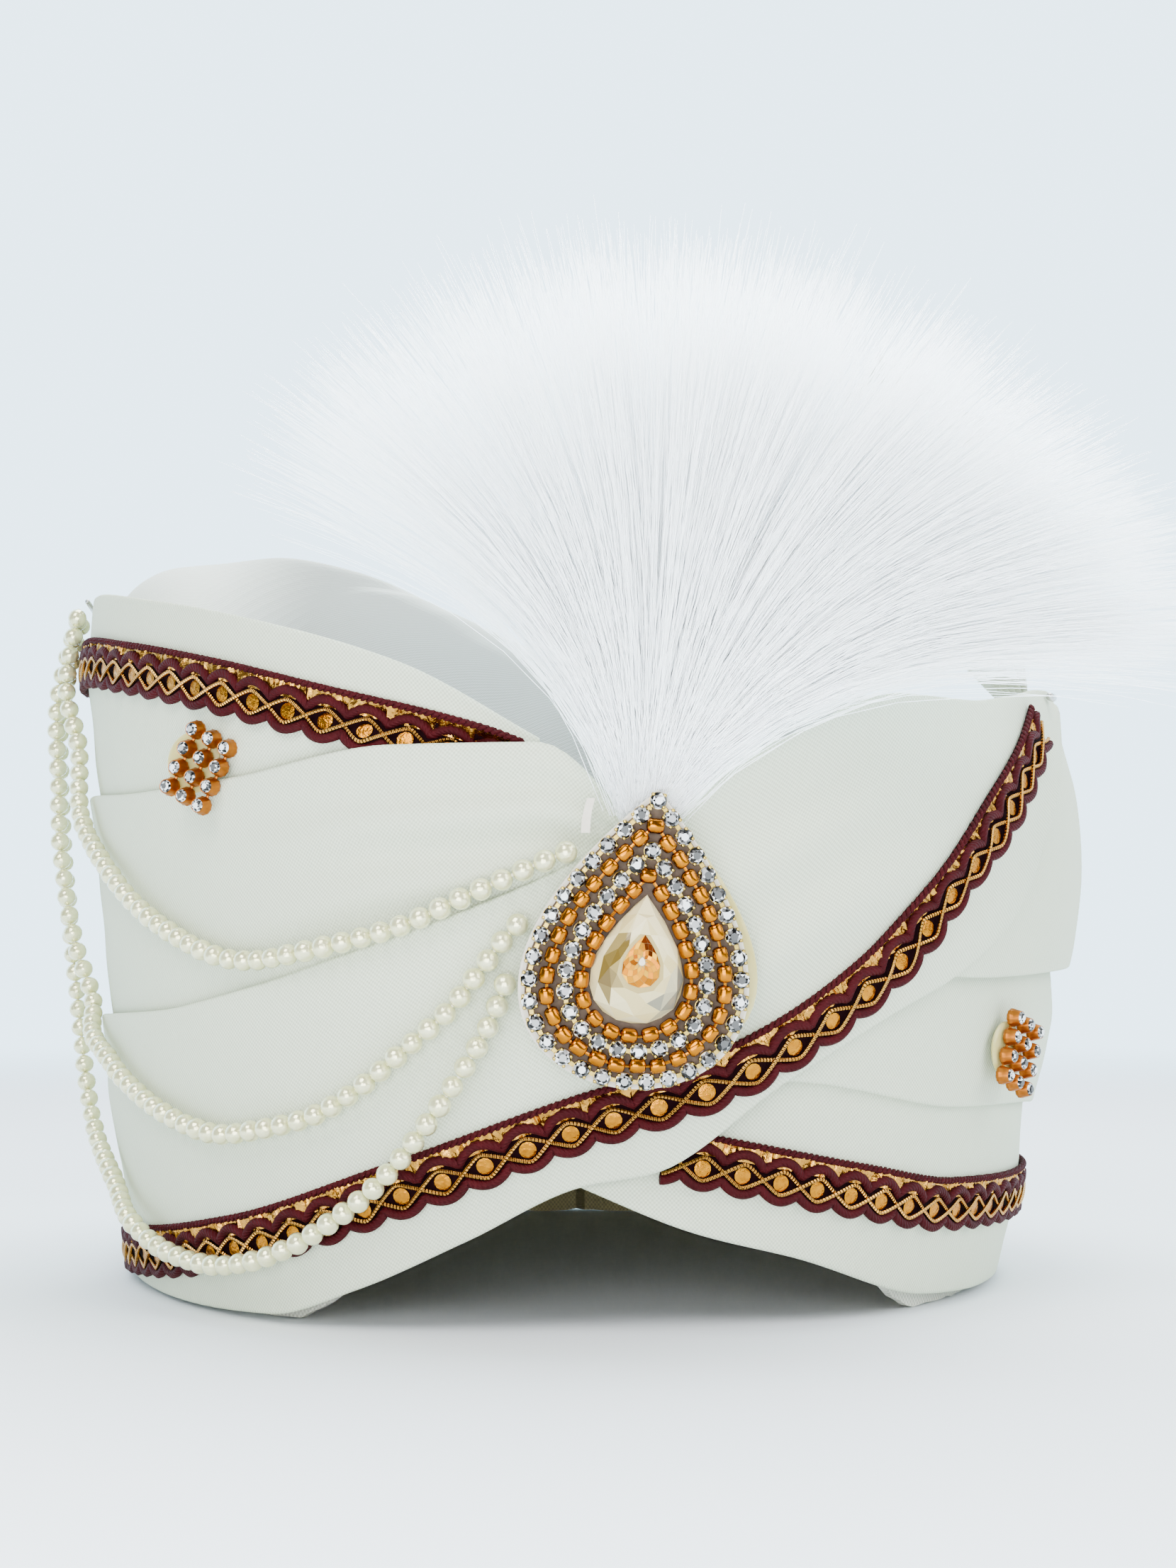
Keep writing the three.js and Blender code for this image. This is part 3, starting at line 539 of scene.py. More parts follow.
@dataclass(frozen=True)
class WovenFinish(Finish):
    """Plain weave: threads over and under along the cloth's own thread map."""

    thread_mm: float = 0.75
    thread_height: float = 0.07

    def tint(self, tree: bpy.types.NodeTree) -> bpy.types.NodeSocket:
        """Bright threads with painted shade in the gap where they dive under."""
        return add_node(tree, "ShaderNodeMix", {
            "Factor": self.weave(tree), "A": linear(self.shade), "B": linear(self.colour),
        }, data_type="RGBA").outputs[2]

    def weave(self, tree: bpy.types.NodeTree) -> bpy.types.NodeSocket:
        """Cross the threads in a checker of overs and unders, a little uneven.

        Args:
            tree: the material's node tree.

        Returns:
            Height of the threads, from 0 to 1.
        """
        place = add_node(tree, "ShaderNodeUVMap", uv_map=THREAD_UV)
        bands = [add_node(tree, "ShaderNodeTexWave", {
            "Vector": place.outputs["UV"], "Scale": wave_scale(self.thread_mm), "Distortion": 0.6,
            "Detail": 1.0, "Detail Scale": 0.3,
        }, wave_type="BANDS", bands_direction=axis) for axis in ("X", "Y")]
        signs = [add_node(tree, "ShaderNodeMath", {0: band.outputs["Fac"], 1: 2.0, 2: -1.0},
                          operation="MULTIPLY_ADD") for band in bands]
        checker = add_node(tree, "ShaderNodeMath", {0: signs[0].outputs[0], 1: signs[1].outputs[0]},
                           operation="MULTIPLY")
        return add_node(tree, "ShaderNodeMath", {0: checker.outputs[0], 1: 0.5, 2: 0.5},
                        operation="MULTIPLY_ADD").outputs[0]

    def relief(self, tree: bpy.types.NodeTree) -> bpy.types.NodeSocket:
        """The threads, raised."""
        return add_node(tree, "ShaderNodeBump", {
            "Height": self.weave(tree), "Strength": 1.0, "Distance": self.thread_height * MM,
        }).outputs["Normal"]


@dataclass(frozen=True)
class PaintedShadeSheerFinish(WovenFinish):
    """Thin plain weave with painted shade: each face's tone greys it where the dark inside would show
    through.
    """

    def tint(self, tree: bpy.types.NodeTree) -> bpy.types.NodeSocket:
        """The woven colours times each face's tone, the painted shade."""
        tone = add_node(tree, "ShaderNodeAttribute", attribute_name=FACET_TONE)
        return add_node(tree, "ShaderNodeMix", {
            "Factor": 1.0, "A": super().tint(tree), "B": tone.outputs["Color"],
        }, data_type="RGBA", blend_type="MULTIPLY").outputs[2]


@dataclass(frozen=True)
class WoundFinish(Finish):
    """Yarn or wire wound round a core: close ridges along the thread map, slanted by the lay."""

    ridge_mm: float = 0.5
    ridge_height: float = 0.12
    slant: float = 0.5

    def relief(self, tree: bpy.types.NodeTree) -> bpy.types.NodeSocket:
        """Raise the slanted ridges of the winding.

        Args:
            tree: the material's node tree.

        Returns:
            The normal.
        """
        place = add_node(tree, "ShaderNodeUVMap", uv_map=THREAD_UV)
        turned = add_node(tree, "ShaderNodeMapping", {
            "Vector": place.outputs["UV"], "Rotation": (0.0, 0.0, self.slant),
        })
        ridges = add_node(tree, "ShaderNodeTexWave", {
            "Vector": turned.outputs["Vector"], "Scale": wave_scale(self.ridge_mm), "Distortion": 0.4,
        }, wave_type="BANDS", bands_direction="X")
        return add_node(tree, "ShaderNodeBump", {
            "Height": ridges.outputs["Fac"], "Strength": 1.0, "Distance": self.ridge_height * MM,
        }).outputs["Normal"]


@dataclass(frozen=True)
class CutGlassFinish(Finish):
    """Foil-backed cut glass: each facet has its own tone, painted reflections on the stones and the foil's
    orange in the heart, under a bright polish.
    """

    def tint(self, tree: bpy.types.NodeTree) -> bpy.types.NodeSocket:
        """The facets' tones, with their painted reflections."""
        return add_node(tree, "ShaderNodeAttribute", attribute_name=FACET_TONE).outputs["Color"]


@dataclass(frozen=True)
class WaxyFinish(Finish):
    """A cloudy body that light sinks into."""

    depth_mm: float = 1.0
    weight: float = 0.4

    def extras(self, tree: bpy.types.NodeTree, shader: bpy.types.Node) -> None:
        """Let light into the body.

        Args:
            tree: the material's node tree.
            shader: its main shader.
        """
        shader.inputs["Subsurface Weight"].default_value = self.weight
        shader.inputs["Subsurface Radius"].default_value = (1.0, 0.9, 0.7)
        shader.inputs["Subsurface Scale"].default_value = self.depth_mm * MM


@dataclass(frozen=True)
class ClearFibreFinish(Finish):
    """Clear fibre: light comes through it as well as off it."""

    passing: str = "b9bcbe"

    def extras(self, tree: bpy.types.NodeTree, shader: bpy.types.Node) -> None:
        """Add the light that comes through.

        Args:
            tree: the material's node tree.
            shader: its main shader.
        """
        through = add_node(tree, "ShaderNodeBsdfTranslucent", {"Color": linear(self.passing)})
        both = add_node(tree, "ShaderNodeAddShader", {0: shader.outputs["BSDF"], 1: through.outputs["BSDF"]})
        tree.links.new(both.outputs["Shader"], tree.nodes["Material Output"].inputs["Surface"])


@dataclass(frozen=True)
class FadingFinish(Finish):
    """Studio paper that fades out away from the object, so that no horizon shows."""

    near_mm: float = 520.0
    far_mm: float = 1250.0

    def extras(self, tree: bpy.types.NodeTree, shader: bpy.types.Node) -> None:
        """Fade by the distance from the middle.

        Args:
            tree: the material's node tree.
            shader: its main shader.
        """
        place = add_node(tree, "ShaderNodeTexCoord")
        reach = add_node(tree, "ShaderNodeVectorMath", {0: place.outputs["Object"]}, operation="LENGTH")
        fade = add_node(tree, "ShaderNodeMapRange", {
            "Value": reach.outputs["Value"], "From Min": self.near_mm * MM, "From Max": self.far_mm * MM,
            "To Min": 1.0, "To Max": 0.0,
        }, interpolation_type="SMOOTHSTEP")
        tree.links.new(fade.outputs["Result"], shader.inputs["Alpha"])


# Loom-state poly-cotton: matt and cool white, with a plain weave drawn at about twice its real pitch to show
COTTON = WovenFinish("woven_poly_cotton", "dee6d0", "b8c0a8", roughness=0.9, specular=0.2, thread_height=0.1)
# Thin cotton of the puff: the same weave drawn coarser still, with painted shade greying it where the dark
# inside would show through
VOILE = PaintedShadeSheerFinish("thin_cotton_voile", "f4faf0", "ccd2c8", roughness=0.92, specular=0.2, thread_mm=0.9,
                    thread_height=0.1)
# Stiff cotton gauze: white and open, with threads far enough apart to see
GAUZE = WovenFinish("stiff_cotton_gauze", "eaecde", "b4b6a8", roughness=0.95, specular=0.2, thread_mm=1.1,
                    thread_height=0.12)
# The same gauze inside, duller and olive: painted shade for the inside of the band
GAUZE_INSIDE_SHADE = WovenFinish("gauze_inside_painted_shade", "d2c89c", "aea478", roughness=0.95, specular=0.2,
                          thread_mm=1.1, thread_height=0.12)
# Twisted viscose cord: deep maroon, matt between silky ridges
CORD = WoundFinish("twisted_viscose_cord", "40030a", "280206", roughness=0.7, specular=0.12, mottle_mm=3.0,
                   ridge_mm=0.6, ridge_height=0.1, slant=0.7)
# Woven net that carries the braid: nearly black between the strands
NET = Finish("woven_net_ground", "180408", "0e0204", roughness=0.9, specular=0.05, mottle_mm=1.5, grain=0.1)
# Crumpled metallised film: thin gold with bright creases
FOIL = Finish("crumpled_gold_film", "e8aa48", "7a4c16", roughness=0.18, metallic=1.0, mottle_mm=1.0,
              grain_mm=0.6, grain=0.16)
# Flat gilt wire wound on a core: rings of light along the zigzag
GILT = WoundFinish("wound_gilt_wire", "d8a04a", "946424", roughness=0.25, metallic=1.0, mottle_mm=4.0,
                   ridge_mm=0.6, ridge_height=0.2, slant=0.12)
# Hammered copper sequin: orange metal with small dents
SEQUIN = Finish("hammered_copper_sequin", "cc8a1c", "8a4e08", roughness=0.25, metallic=1.0, mottle_mm=0.7,
                grain_mm=0.7, grain=0.22)
# Imitation pearl: glass bead under a wrinkled ivory coat with a faint green tint
PEARL = WaxyFinish("wrinkled_pearl_coat", "f0eeca", "d4d494", roughness=0.16, metallic=0.5, coat=1.0,
                   mottle_mm=1.2, grain_mm=0.8, grain=0.11, depth_mm=0.6, weight=0.12)
# Spun polyester thread of the strings: soft matt white between the pearls
THREAD = Finish("spun_polyester_thread", "ecead9", "dcd9c4", roughness=0.8, mottle_mm=1.0)
# Drawn nylon bristle: clear white with a thin bright line along each fibre
BRISTLE = ClearFibreFinish("drawn_nylon_bristle", "feffff", "fbfdfe", roughness=0.35, ior=1.53, mottle_mm=8.0)
# Foil-backed glass chaton: hard bright and dark facets, painted reflections given by each face's tone
CHATON = CutGlassFinish("foiled_glass_chaton", "ffffff", "ffffff", roughness=0.12, specular=0.25)
# Champagne glass drop over copper foil: pale facets with painted reflections, and an orange heart
CHAMPAGNE = CutGlassFinish("champagne_glass_drop", "ffffff", "ffffff", roughness=0.06, specular=0.3)
# Copper foil seen through the drop's table: orange metal in small flat kites
COPPER_HEART = CutGlassFinish("copper_foil_heart", "ffffff", "ffffff", roughness=0.3, metallic=1.0,
                              specular=0.2)
# Brass cup chain: pale yellow stamped metal
BRASS = Finish("stamped_brass_cup", "ccb05a", "a08438", roughness=0.28, metallic=1.0, mottle_mm=1.2)
# Copper-lined seed bead: glossy orange metal under clear glass
COPPER_BEAD = Finish("copper_lined_seed_bead", "ba7404", "965602", roughness=0.2, metallic=1.0, mottle_mm=1.5)
# Pressed copper cup: satin orange metal
COPPER_CUP = Finish("pressed_copper_cup", "b66c20", "8e4e12", roughness=0.38, metallic=0.9, mottle_mm=1.2,
                    grain_mm=0.3, grain=0.01)
# Stiff non-woven backing: off white, slightly fuzzy at its cut edge
BACKING = Finish("non_woven_backing", "e5e0d2", "d2cabb", roughness=0.95, specular=0.2, mottle_mm=2.0,
                 grain=0.06)
# Satin ground under the stones: dull brown, with a short soft gloss
SATIN = Finish("brown_satin_ground", "6e5e50", "4c4038", roughness=0.7, specular=0.15, mottle_mm=1.2,
               grain=0.05)
# Hot-melt glue: cloudy, yellowish and smooth
GLUE = WaxyFinish("hot_melt_glue", "ccc284", "b4a866", roughness=0.2, ior=1.48, mottle_mm=6.0, depth_mm=2.5,
                  weight=0.5)
# Drawn steel wire of the pins: smooth and grey, with a sharp line of light
STEEL = Finish("drawn_steel_pin", "c4c4c0", "a4a4a0", roughness=0.28, metallic=1.0, mottle_mm=2.0)
# Seamless studio paper: flat, pale and a little blue
PAPER = FadingFinish("seamless_paper", "e9eef2", "e7edf1", roughness=0.9, specular=0.2, mottle_mm=300.0)


# Cloth


@dataclass
class Wrap:
    """One wound layer of the cotton, with soft ripples that stay inside the room its neighbours leave."""

    name: str
    table: Table
    seed: int
    ripple: float
    gather_at: float
    held: Hold = Hold.GATHERED
    wall: float = 1.3
    step_deg: float = 1.25
    ripple_length: float = 62.0
    gather_reach: float = 26.0
    gather_depth: float = 0.9
    gather_folds: float = 3.2
    gather_wander: float = 2.2
    layers: list["Wrap"] = field(default_factory=list)

    MM_PER_DEG = 1.75
    OUTER, INNER, EDGE = 34, 10, 4
    FADE = 7.0
    FREE = 2.0
    ROOM_SHARE = 0.45
    BROAD, FINE, FINE_LENGTH = 0.65, 0.35, 0.45
    WANDER_LENGTH = 40.0

    def __post_init__(self) -> None:
        """Draw the ripples."""
        self.noise = Ripples(self.seed)

    def edges(self, angle: Array) -> tuple[Array, Array]:
        """Heights of the lower and upper edges at a plan angle."""
        return self.table.at("low", angle), self.table.at("high", angle)

    def share(self, angle: Array, z: Array) -> Array:
        """Share of the layer's height that a place lies at, from its lower edge."""
        low, high = self.edges(angle)
        return np.clip((z - low) / (high - low), 0.0, 1.0)

    def bare_off(self, angle: Array, z: Array) -> Array:
        """How far the outer face stands off the core, without ripples.

        Args:
            angle: plan angle.
            z: height.

        Returns:
            The distance.
        """
        share = self.share(angle, z)
        level = lerp(self.table.at("off_low", angle), self.table.at("off_high", angle), share)
        return level + 4 * self.table.at("puff", angle) * share * (1 - share)

    def presence(self, angle: Array, z: Array) -> Array:
        """Whether the layer lies at a place.

        Args:
            angle: plan angle.
            z: height.

        Returns:
            1 where it lies, fading to 0 beyond its edges.
        """
        low, high = self.edges(angle)
        inside = (angle >= self.table.keys[0]) & (angle <= self.table.keys[-1])
        return inside * smooth(1 + (z - low) / self.FADE) * smooth(1 + (high - z) / self.FADE)

    def off(self, angle: Array, z: Array) -> Array:
        """How far the outer face stands off the core.

        Args:
            angle: plan angle.
            z: height.

        Returns:
            The distance, with ripples that use less than half of the room to each neighbour.
        """
        angle, z = np.broadcast_arrays(np.asarray(angle, float), np.asarray(z, float))
        bare, share = self.bare_off(angle, z), self.share(angle, z)
        run = angle * self.MM_PER_DEG
        swell = self.BROAD * self.noise.at(run / self.ripple_length, share * 2.6 + 7)
        fine_run = run / (self.FINE_LENGTH * self.ripple_length)
        swell = swell + self.FINE * self.noise.at(fine_run + 19, share * 6.0)
        near = np.exp(-((angle - self.gather_at) / self.gather_reach) ** 2)
        wander = self.gather_wander * self.noise.at(run / self.WANDER_LENGTH, share + 31)
        pucker = np.sin(2 * math.pi * self.gather_folds * share + wander)
        folds = self.gather_depth * near * pucker * smooth(4 * share) * smooth(4 - 4 * share)
        wanted = self.ripple * swell + folds
        up = np.full(bare.shape, self.FREE)
        down = np.full(bare.shape, self.FREE)
        for other in self.layers:
            for turn in (-360.0, 0.0, 360.0):
                if other is self and turn == 0.0:
                    continue
                there = other.presence(angle + turn, z)
                apart = other.bare_off(angle + turn, z) - bare
                room = self.ROOM_SHARE * np.maximum(np.abs(apart) - self.wall, 0.0)
                limit = lerp(self.FREE, room, there)
                up = np.where(apart > 0, np.minimum(up, limit), up)
                down = np.where(apart <= 0, np.minimum(down, limit), down)
        return bare + np.clip(wanted, -down, up)

    def build(self, rests_on: Sequence[str]) -> bpy.types.Object:
        """Make the cloth as a wall with round folded edges.

        Args:
            rests_on: the solids that the layer lies on; not used.

        Returns:
            The piece.
        """
        first, last = self.table.keys[0], self.table.keys[-1]
        angle = np.linspace(first, last, int((last - first) / self.step_deg) + 1)[:, None]
        low, high = self.edges(angle)
        curl = self.wall / 2
        outer = np.linspace(0, 1, self.OUTER)[None, :]
        inner = np.linspace(1, 0, self.INNER)[None, :]
        bend = np.linspace(0, math.pi, self.EDGE + 2)[None, 1:-1]
        z_outer = lerp(low + curl, high - curl, outer)
        z_inner = lerp(low + curl, high - curl, inner)
        off_outer = self.off(angle, z_outer)
        off_inner = self.off(angle, z_inner) - self.wall
        z_top, z_foot = high - curl + curl * np.sin(bend), low + curl - curl * np.sin(bend)
        off_top = off_outer[:, -1:] - curl + curl * np.cos(bend)
        off_foot = off_outer[:, :1] - curl - curl * np.cos(bend)
        z = np.concatenate([z_outer, z_top, z_inner, z_foot], axis=1)
        off = np.concatenate([off_outer, off_top, off_inner, off_foot], axis=1)
        points = CORE.place(angle, z, off)
        middle = points[:, self.OUTER // 2]
        run = run_along(middle)
        uv = np.stack(np.broadcast_arrays(run[:, None], z - (low + high) / 2), -1)
        ring = z.shape[1]
        sketch = Sketch()
        sketch.add(points, capped_rings(len(angle), ring), uv.reshape(-1, 2))
        piece = mount(sketch.piece(f"{self.name}_cloth", [COTTON], 60.0), Slot.COTTON, self.name)
        return piece


@dataclass
class Lining:
    """Stiff gauze band inside the wraps, standing on the rest plane apart from the arch over the brow."""

    wall: float = 1.5
    top: float = 70.0
    inset: float = 0.25
    fray: float = 0.7
    steps: int = 240
    rows: int = 18
    foot: Table = field(default_factory=lambda: Table("angle z", [
        (-180, 0), (-36, 0), (-24, 9), (-12, 18.5), (0, 27.5), (12, 20.5), (24, 15), (36, 10), (48, 0),
        (180, 0),
    ]))

    def build(self) -> bpy.types.Object:
        """Make the band, its foot a little frayed.

        Returns:
            The piece.
        """
        angle = np.linspace(-180, 180, self.steps, endpoint=False)[:, None]
        noise = Ripples(71)
        foot = self.foot.at("z", angle) + self.fray * np.abs(noise.at(angle / 3.0, 2.0))
        share = np.linspace(0, 1, self.rows)[None, :]
        z = lerp(foot, self.top, share)
        soft = 0.12 * noise.at(angle / 9.0, share * 6)
        outside = CORE.place(angle, z, -self.inset + np.minimum(soft, 0))
        inside = CORE.place(angle, z, -self.inset - self.wall + soft)[:, ::-1]
        points = np.concatenate([outside, inside], axis=1)
        run = angle * Wrap.MM_PER_DEG
        uv = np.stack(np.broadcast_arrays(run, np.concatenate([z, z[:, ::-1]], axis=1)), -1)
        sketch = Sketch()
        ring = 2 * self.rows
        sketch.add(points, grid_faces(self.steps, ring, closed=True, round_rows=True), uv.reshape(-1, 2))
        column = np.tile(np.arange(ring), self.steps)
        # The inner faces take the darker olive gauze, painted shade inside the band
        sketch.finish = ((column >= self.rows) & (column < ring - 1)).astype(int).tolist()
        piece = mount(sketch.piece("lining_band", [GAUZE, GAUZE_INSIDE_SHADE], 60.0), Slot.GAUZE, "lining")
        return piece


@dataclass
class Crown:
    """Soft cap that puffs up out of the wraps, high on the left and falling away to the right."""

    wall: float = 1.3
    skirt_foot: float = 70.6
    high_top: float = 140.0
    low_top: float = 116.0
    slope_from: float = -58.0
    slope_to: float = 20.0
    steps: int = 200
    rings: int = 48
    pucker: float = 0.5
    puckers: int = 34
    sag: float = 1.1
    # Painted shade on the front slope: how far it darkens, and the x, y and facing over which it comes in
    painted_shade_depth: float = 0.62
    painted_shade_x: tuple[float, float] = (-70.0, -44.0)
    painted_shade_y: tuple[float, float] = (10.0, -30.0)
    painted_shade_facing: tuple[float, float] = (0.05, 0.35)
    rim: Table = field(default_factory=lambda: Table("angle z off roundness", [
        (180, 122, 5.6, 4.5), (140, 116, 5.6, 4.5), (90, 109, 6, 4.5), (55, 104, 5.8, 4.5),
        (30, 100, 5.4, 4.5), (8, 88, 5, 4), (-6, 94, 4.8, 3.2), (-20, 108, 4.8, 3), (-36, 119, 4.6, 3),
        (-50, 126.5, 4.2, 7), (-68, 131, 3.8, 20), (-90, 133.5, 4, 24), (-115, 133.5, 4.6, 15),
        (-140, 130, 5, 7), (-180, 122, 5.6, 4.5),
    ]))

    def top(self, x: Array) -> Array:
        """Height of the puff's top over a place on the plan."""
        fall = (x - self.slope_from) / (self.slope_to - self.slope_from)
        return lerp(self.high_top, self.low_top, smooth(fall))

    def skin(self, angle: Array, share: Array, inset: float) -> Array:
        """Points of the puff.

        Args:
            angle: plan angle.
            share: share of the way from the rim to the middle.
            inset: how far inside the outer face.

        Returns:
            The points.
        """
        rim = CORE.place(angle, self.rim.at("z", angle), self.rim.at("off", angle) - inset)
        x, y = rim[..., 0] * (1 - share), rim[..., 1] * (1 - share)
        rise = 1 - (1 - share) ** self.rim.at("roundness", angle)
        noise = Ripples(53)
        soft = self.sag * rise * (noise.at(x / 34 + 5, y / 30 + 9) + 0.4 * noise.at(x / 14 + 21, y / 13))
        gathers = np.cos(np.radians(angle) * self.puckers + 3 * noise.at(angle / 20, 1.0))
        tuck = self.pucker * (1 - rise) * share ** 0.3 * gathers
        z = lerp(rim[..., 2], self.top(x), rise) + (soft + tuck) * smooth(8 * share) - inset * rise
        return np.stack([x, y, z], -1)

    def painted_slope_shade(self, points: Array, faces: list) -> list[tuple[float, float, float]]:
        """Painted shade for each face: greyer on the front slope, where the cloth faces the front and hangs
        over the dark inside.

        Args:
            points: the cap's points.
            faces: its faces.

        Returns:
            A tone for each face.
        """
        corner = np.array([[points[face[k]] for k in (0, 1, 2)] for face in faces])
        facing = np.abs(unit(np.cross(corner[:, 1] - corner[:, 0], corner[:, 2] - corner[:, 0]))[:, 1])
        x, y, _ = corner.mean(1).T
        across, ahead, front = (smooth((value - low) / (high - low)) for value, (low, high) in (
            (x, self.painted_shade_x), (facing, self.painted_shade_facing), (y, self.painted_shade_y)))
        return [(t, t, t) for t in (1 - self.painted_shade_depth * across * ahead * front).tolist()]

    def build(self) -> bpy.types.Object:
        """Make the cap: a skirt inside the wraps, then the puff, with an inner face.

        Returns:
            The piece.
        """
        angle = np.linspace(-180, 180, self.steps, endpoint=False)[None, :]
        share = (np.linspace(0, 1, self.rings) ** 1.7)[:-1, None]
        skins = []
        for inset in (0.0, self.wall):
            foot = CORE.place(angle, self.skirt_foot, -inset)
            puff = self.skin(np.broadcast_to(angle, (len(share), self.steps)), share, inset)
            skins.append(np.concatenate([foot, puff]))
        shell = np.concatenate([skins[0][::-1], skins[1]])
        rows = len(shell)
        points = np.concatenate([shell.reshape(-1, 3), [shell[0].mean(0)], [shell[-1].mean(0)]])
        faces = grid_faces(rows, self.steps, closed=True).tolist()
        last = (rows - 1) * self.steps
        for k in range(self.steps):
            after = (k + 1) % self.steps
            faces.append([k, after, rows * self.steps])
            faces.append([last + after, last + k, rows * self.steps + 1])
        sketch = Sketch()
        thread_map = points[:, :2] + points[:, 2:] * [[0.5, 0.5]]
        # The faces' tones carry the painted shade of the front slope
        sketch.add(points, faces, thread_map, tones=self.painted_slope_shade(points, faces))
        piece = mount(sketch.piece("crown_puff", [VOILE], 60.0), Slot.COTTON, "crown")
        return piece


@dataclass
class Turra:
    """The cloth's end, standing up from the right shoulder as a fan of knife pleats."""

    base: tuple[float, float, float] = (85.0, -43.0, 111.9)
    left_deg: float = -38.0
    right_deg: float = -1.0
    pleats: int = 6
    lean_deg: float = 21.0
    root_half: float = 6.5
    fold: float = 2.6
    crease: float = 0.97
    wall: float = 0.8
    columns: int = 145
    rows: int = 26
    lengths: Table = field(default_factory=lambda: Table("at length", [
        (0, 58), (0.3, 70), (0.62, 82), (0.8, 72), (1, 58),
    ]))

    def face(self, side: float) -> Array:
        """Points of one face.

        Args:
            side: how far the face lies from the middle of the cloth.

        Returns:
            Rows of points from the root up.
        """
        share = np.linspace(0, 1, self.columns)[None, :]
        rise = np.linspace(0, 1, self.rows)[:, None]
        heading = np.radians(lerp(self.left_deg, self.right_deg, share))
        back = math.radians(self.lean_deg)
        length = self.lengths.at("length", share) * rise
        root = lerp(-self.root_half, self.root_half, share)
        swing = -zigzag(2 * math.pi * self.pleats * share, self.crease)
        sway = 0.5 * Ripples(13).at(share * 9, rise * 3) * rise
        wave = swing * self.fold * lerp(0.35, 1.0, rise) + side + sway
        x = self.base[0] + 0.6 * root + length * np.sin(heading)
        y = self.base[1] + 0.8 * root + length * np.cos(heading) * math.sin(back) - wave * math.cos(back)
        z = self.base[2] + length * np.cos(heading) * math.cos(back) + wave * math.sin(back)
        return np.stack(np.broadcast_arrays(x, y, z), -1)

    def build(self) -> bpy.types.Object:
        """Make the fan as a thin wall.

        Returns:
            The piece.
        """
        front, rear = self.face(self.wall / 2), self.face(-self.wall / 2)
        rings = np.concatenate([front, rear[:, ::-1]], axis=1)
        ring = rings.shape[1]
        faces = grid_faces(self.rows, ring, closed=True).tolist()
        for start in (0, (self.rows - 1) * ring):
            faces += [[start + k, start + k + 1, start + ring - 2 - k, start + ring - 1 - k]
                      for k in range(self.columns - 1)]
        top = float(np.linalg.norm(np.diff(front[-1], axis=0), axis=1).sum())
        tall = float(self.lengths.columns["length"].max())
        across = np.linspace(0, top, self.columns)[None, :]
        height = np.linspace(0, tall, self.rows)[:, None]
        uv = np.stack(np.broadcast_arrays(across, height), -1)
        sketch = Sketch()
        sketch.add(rings, faces, np.concatenate([uv, uv[:, ::-1]], axis=1).reshape(-1, 2))
        piece = mount(sketch.piece("turra_fan", [COTTON], 60.0), Slot.COTTON, "turra")
        return piece


# Trim, pearls and plume


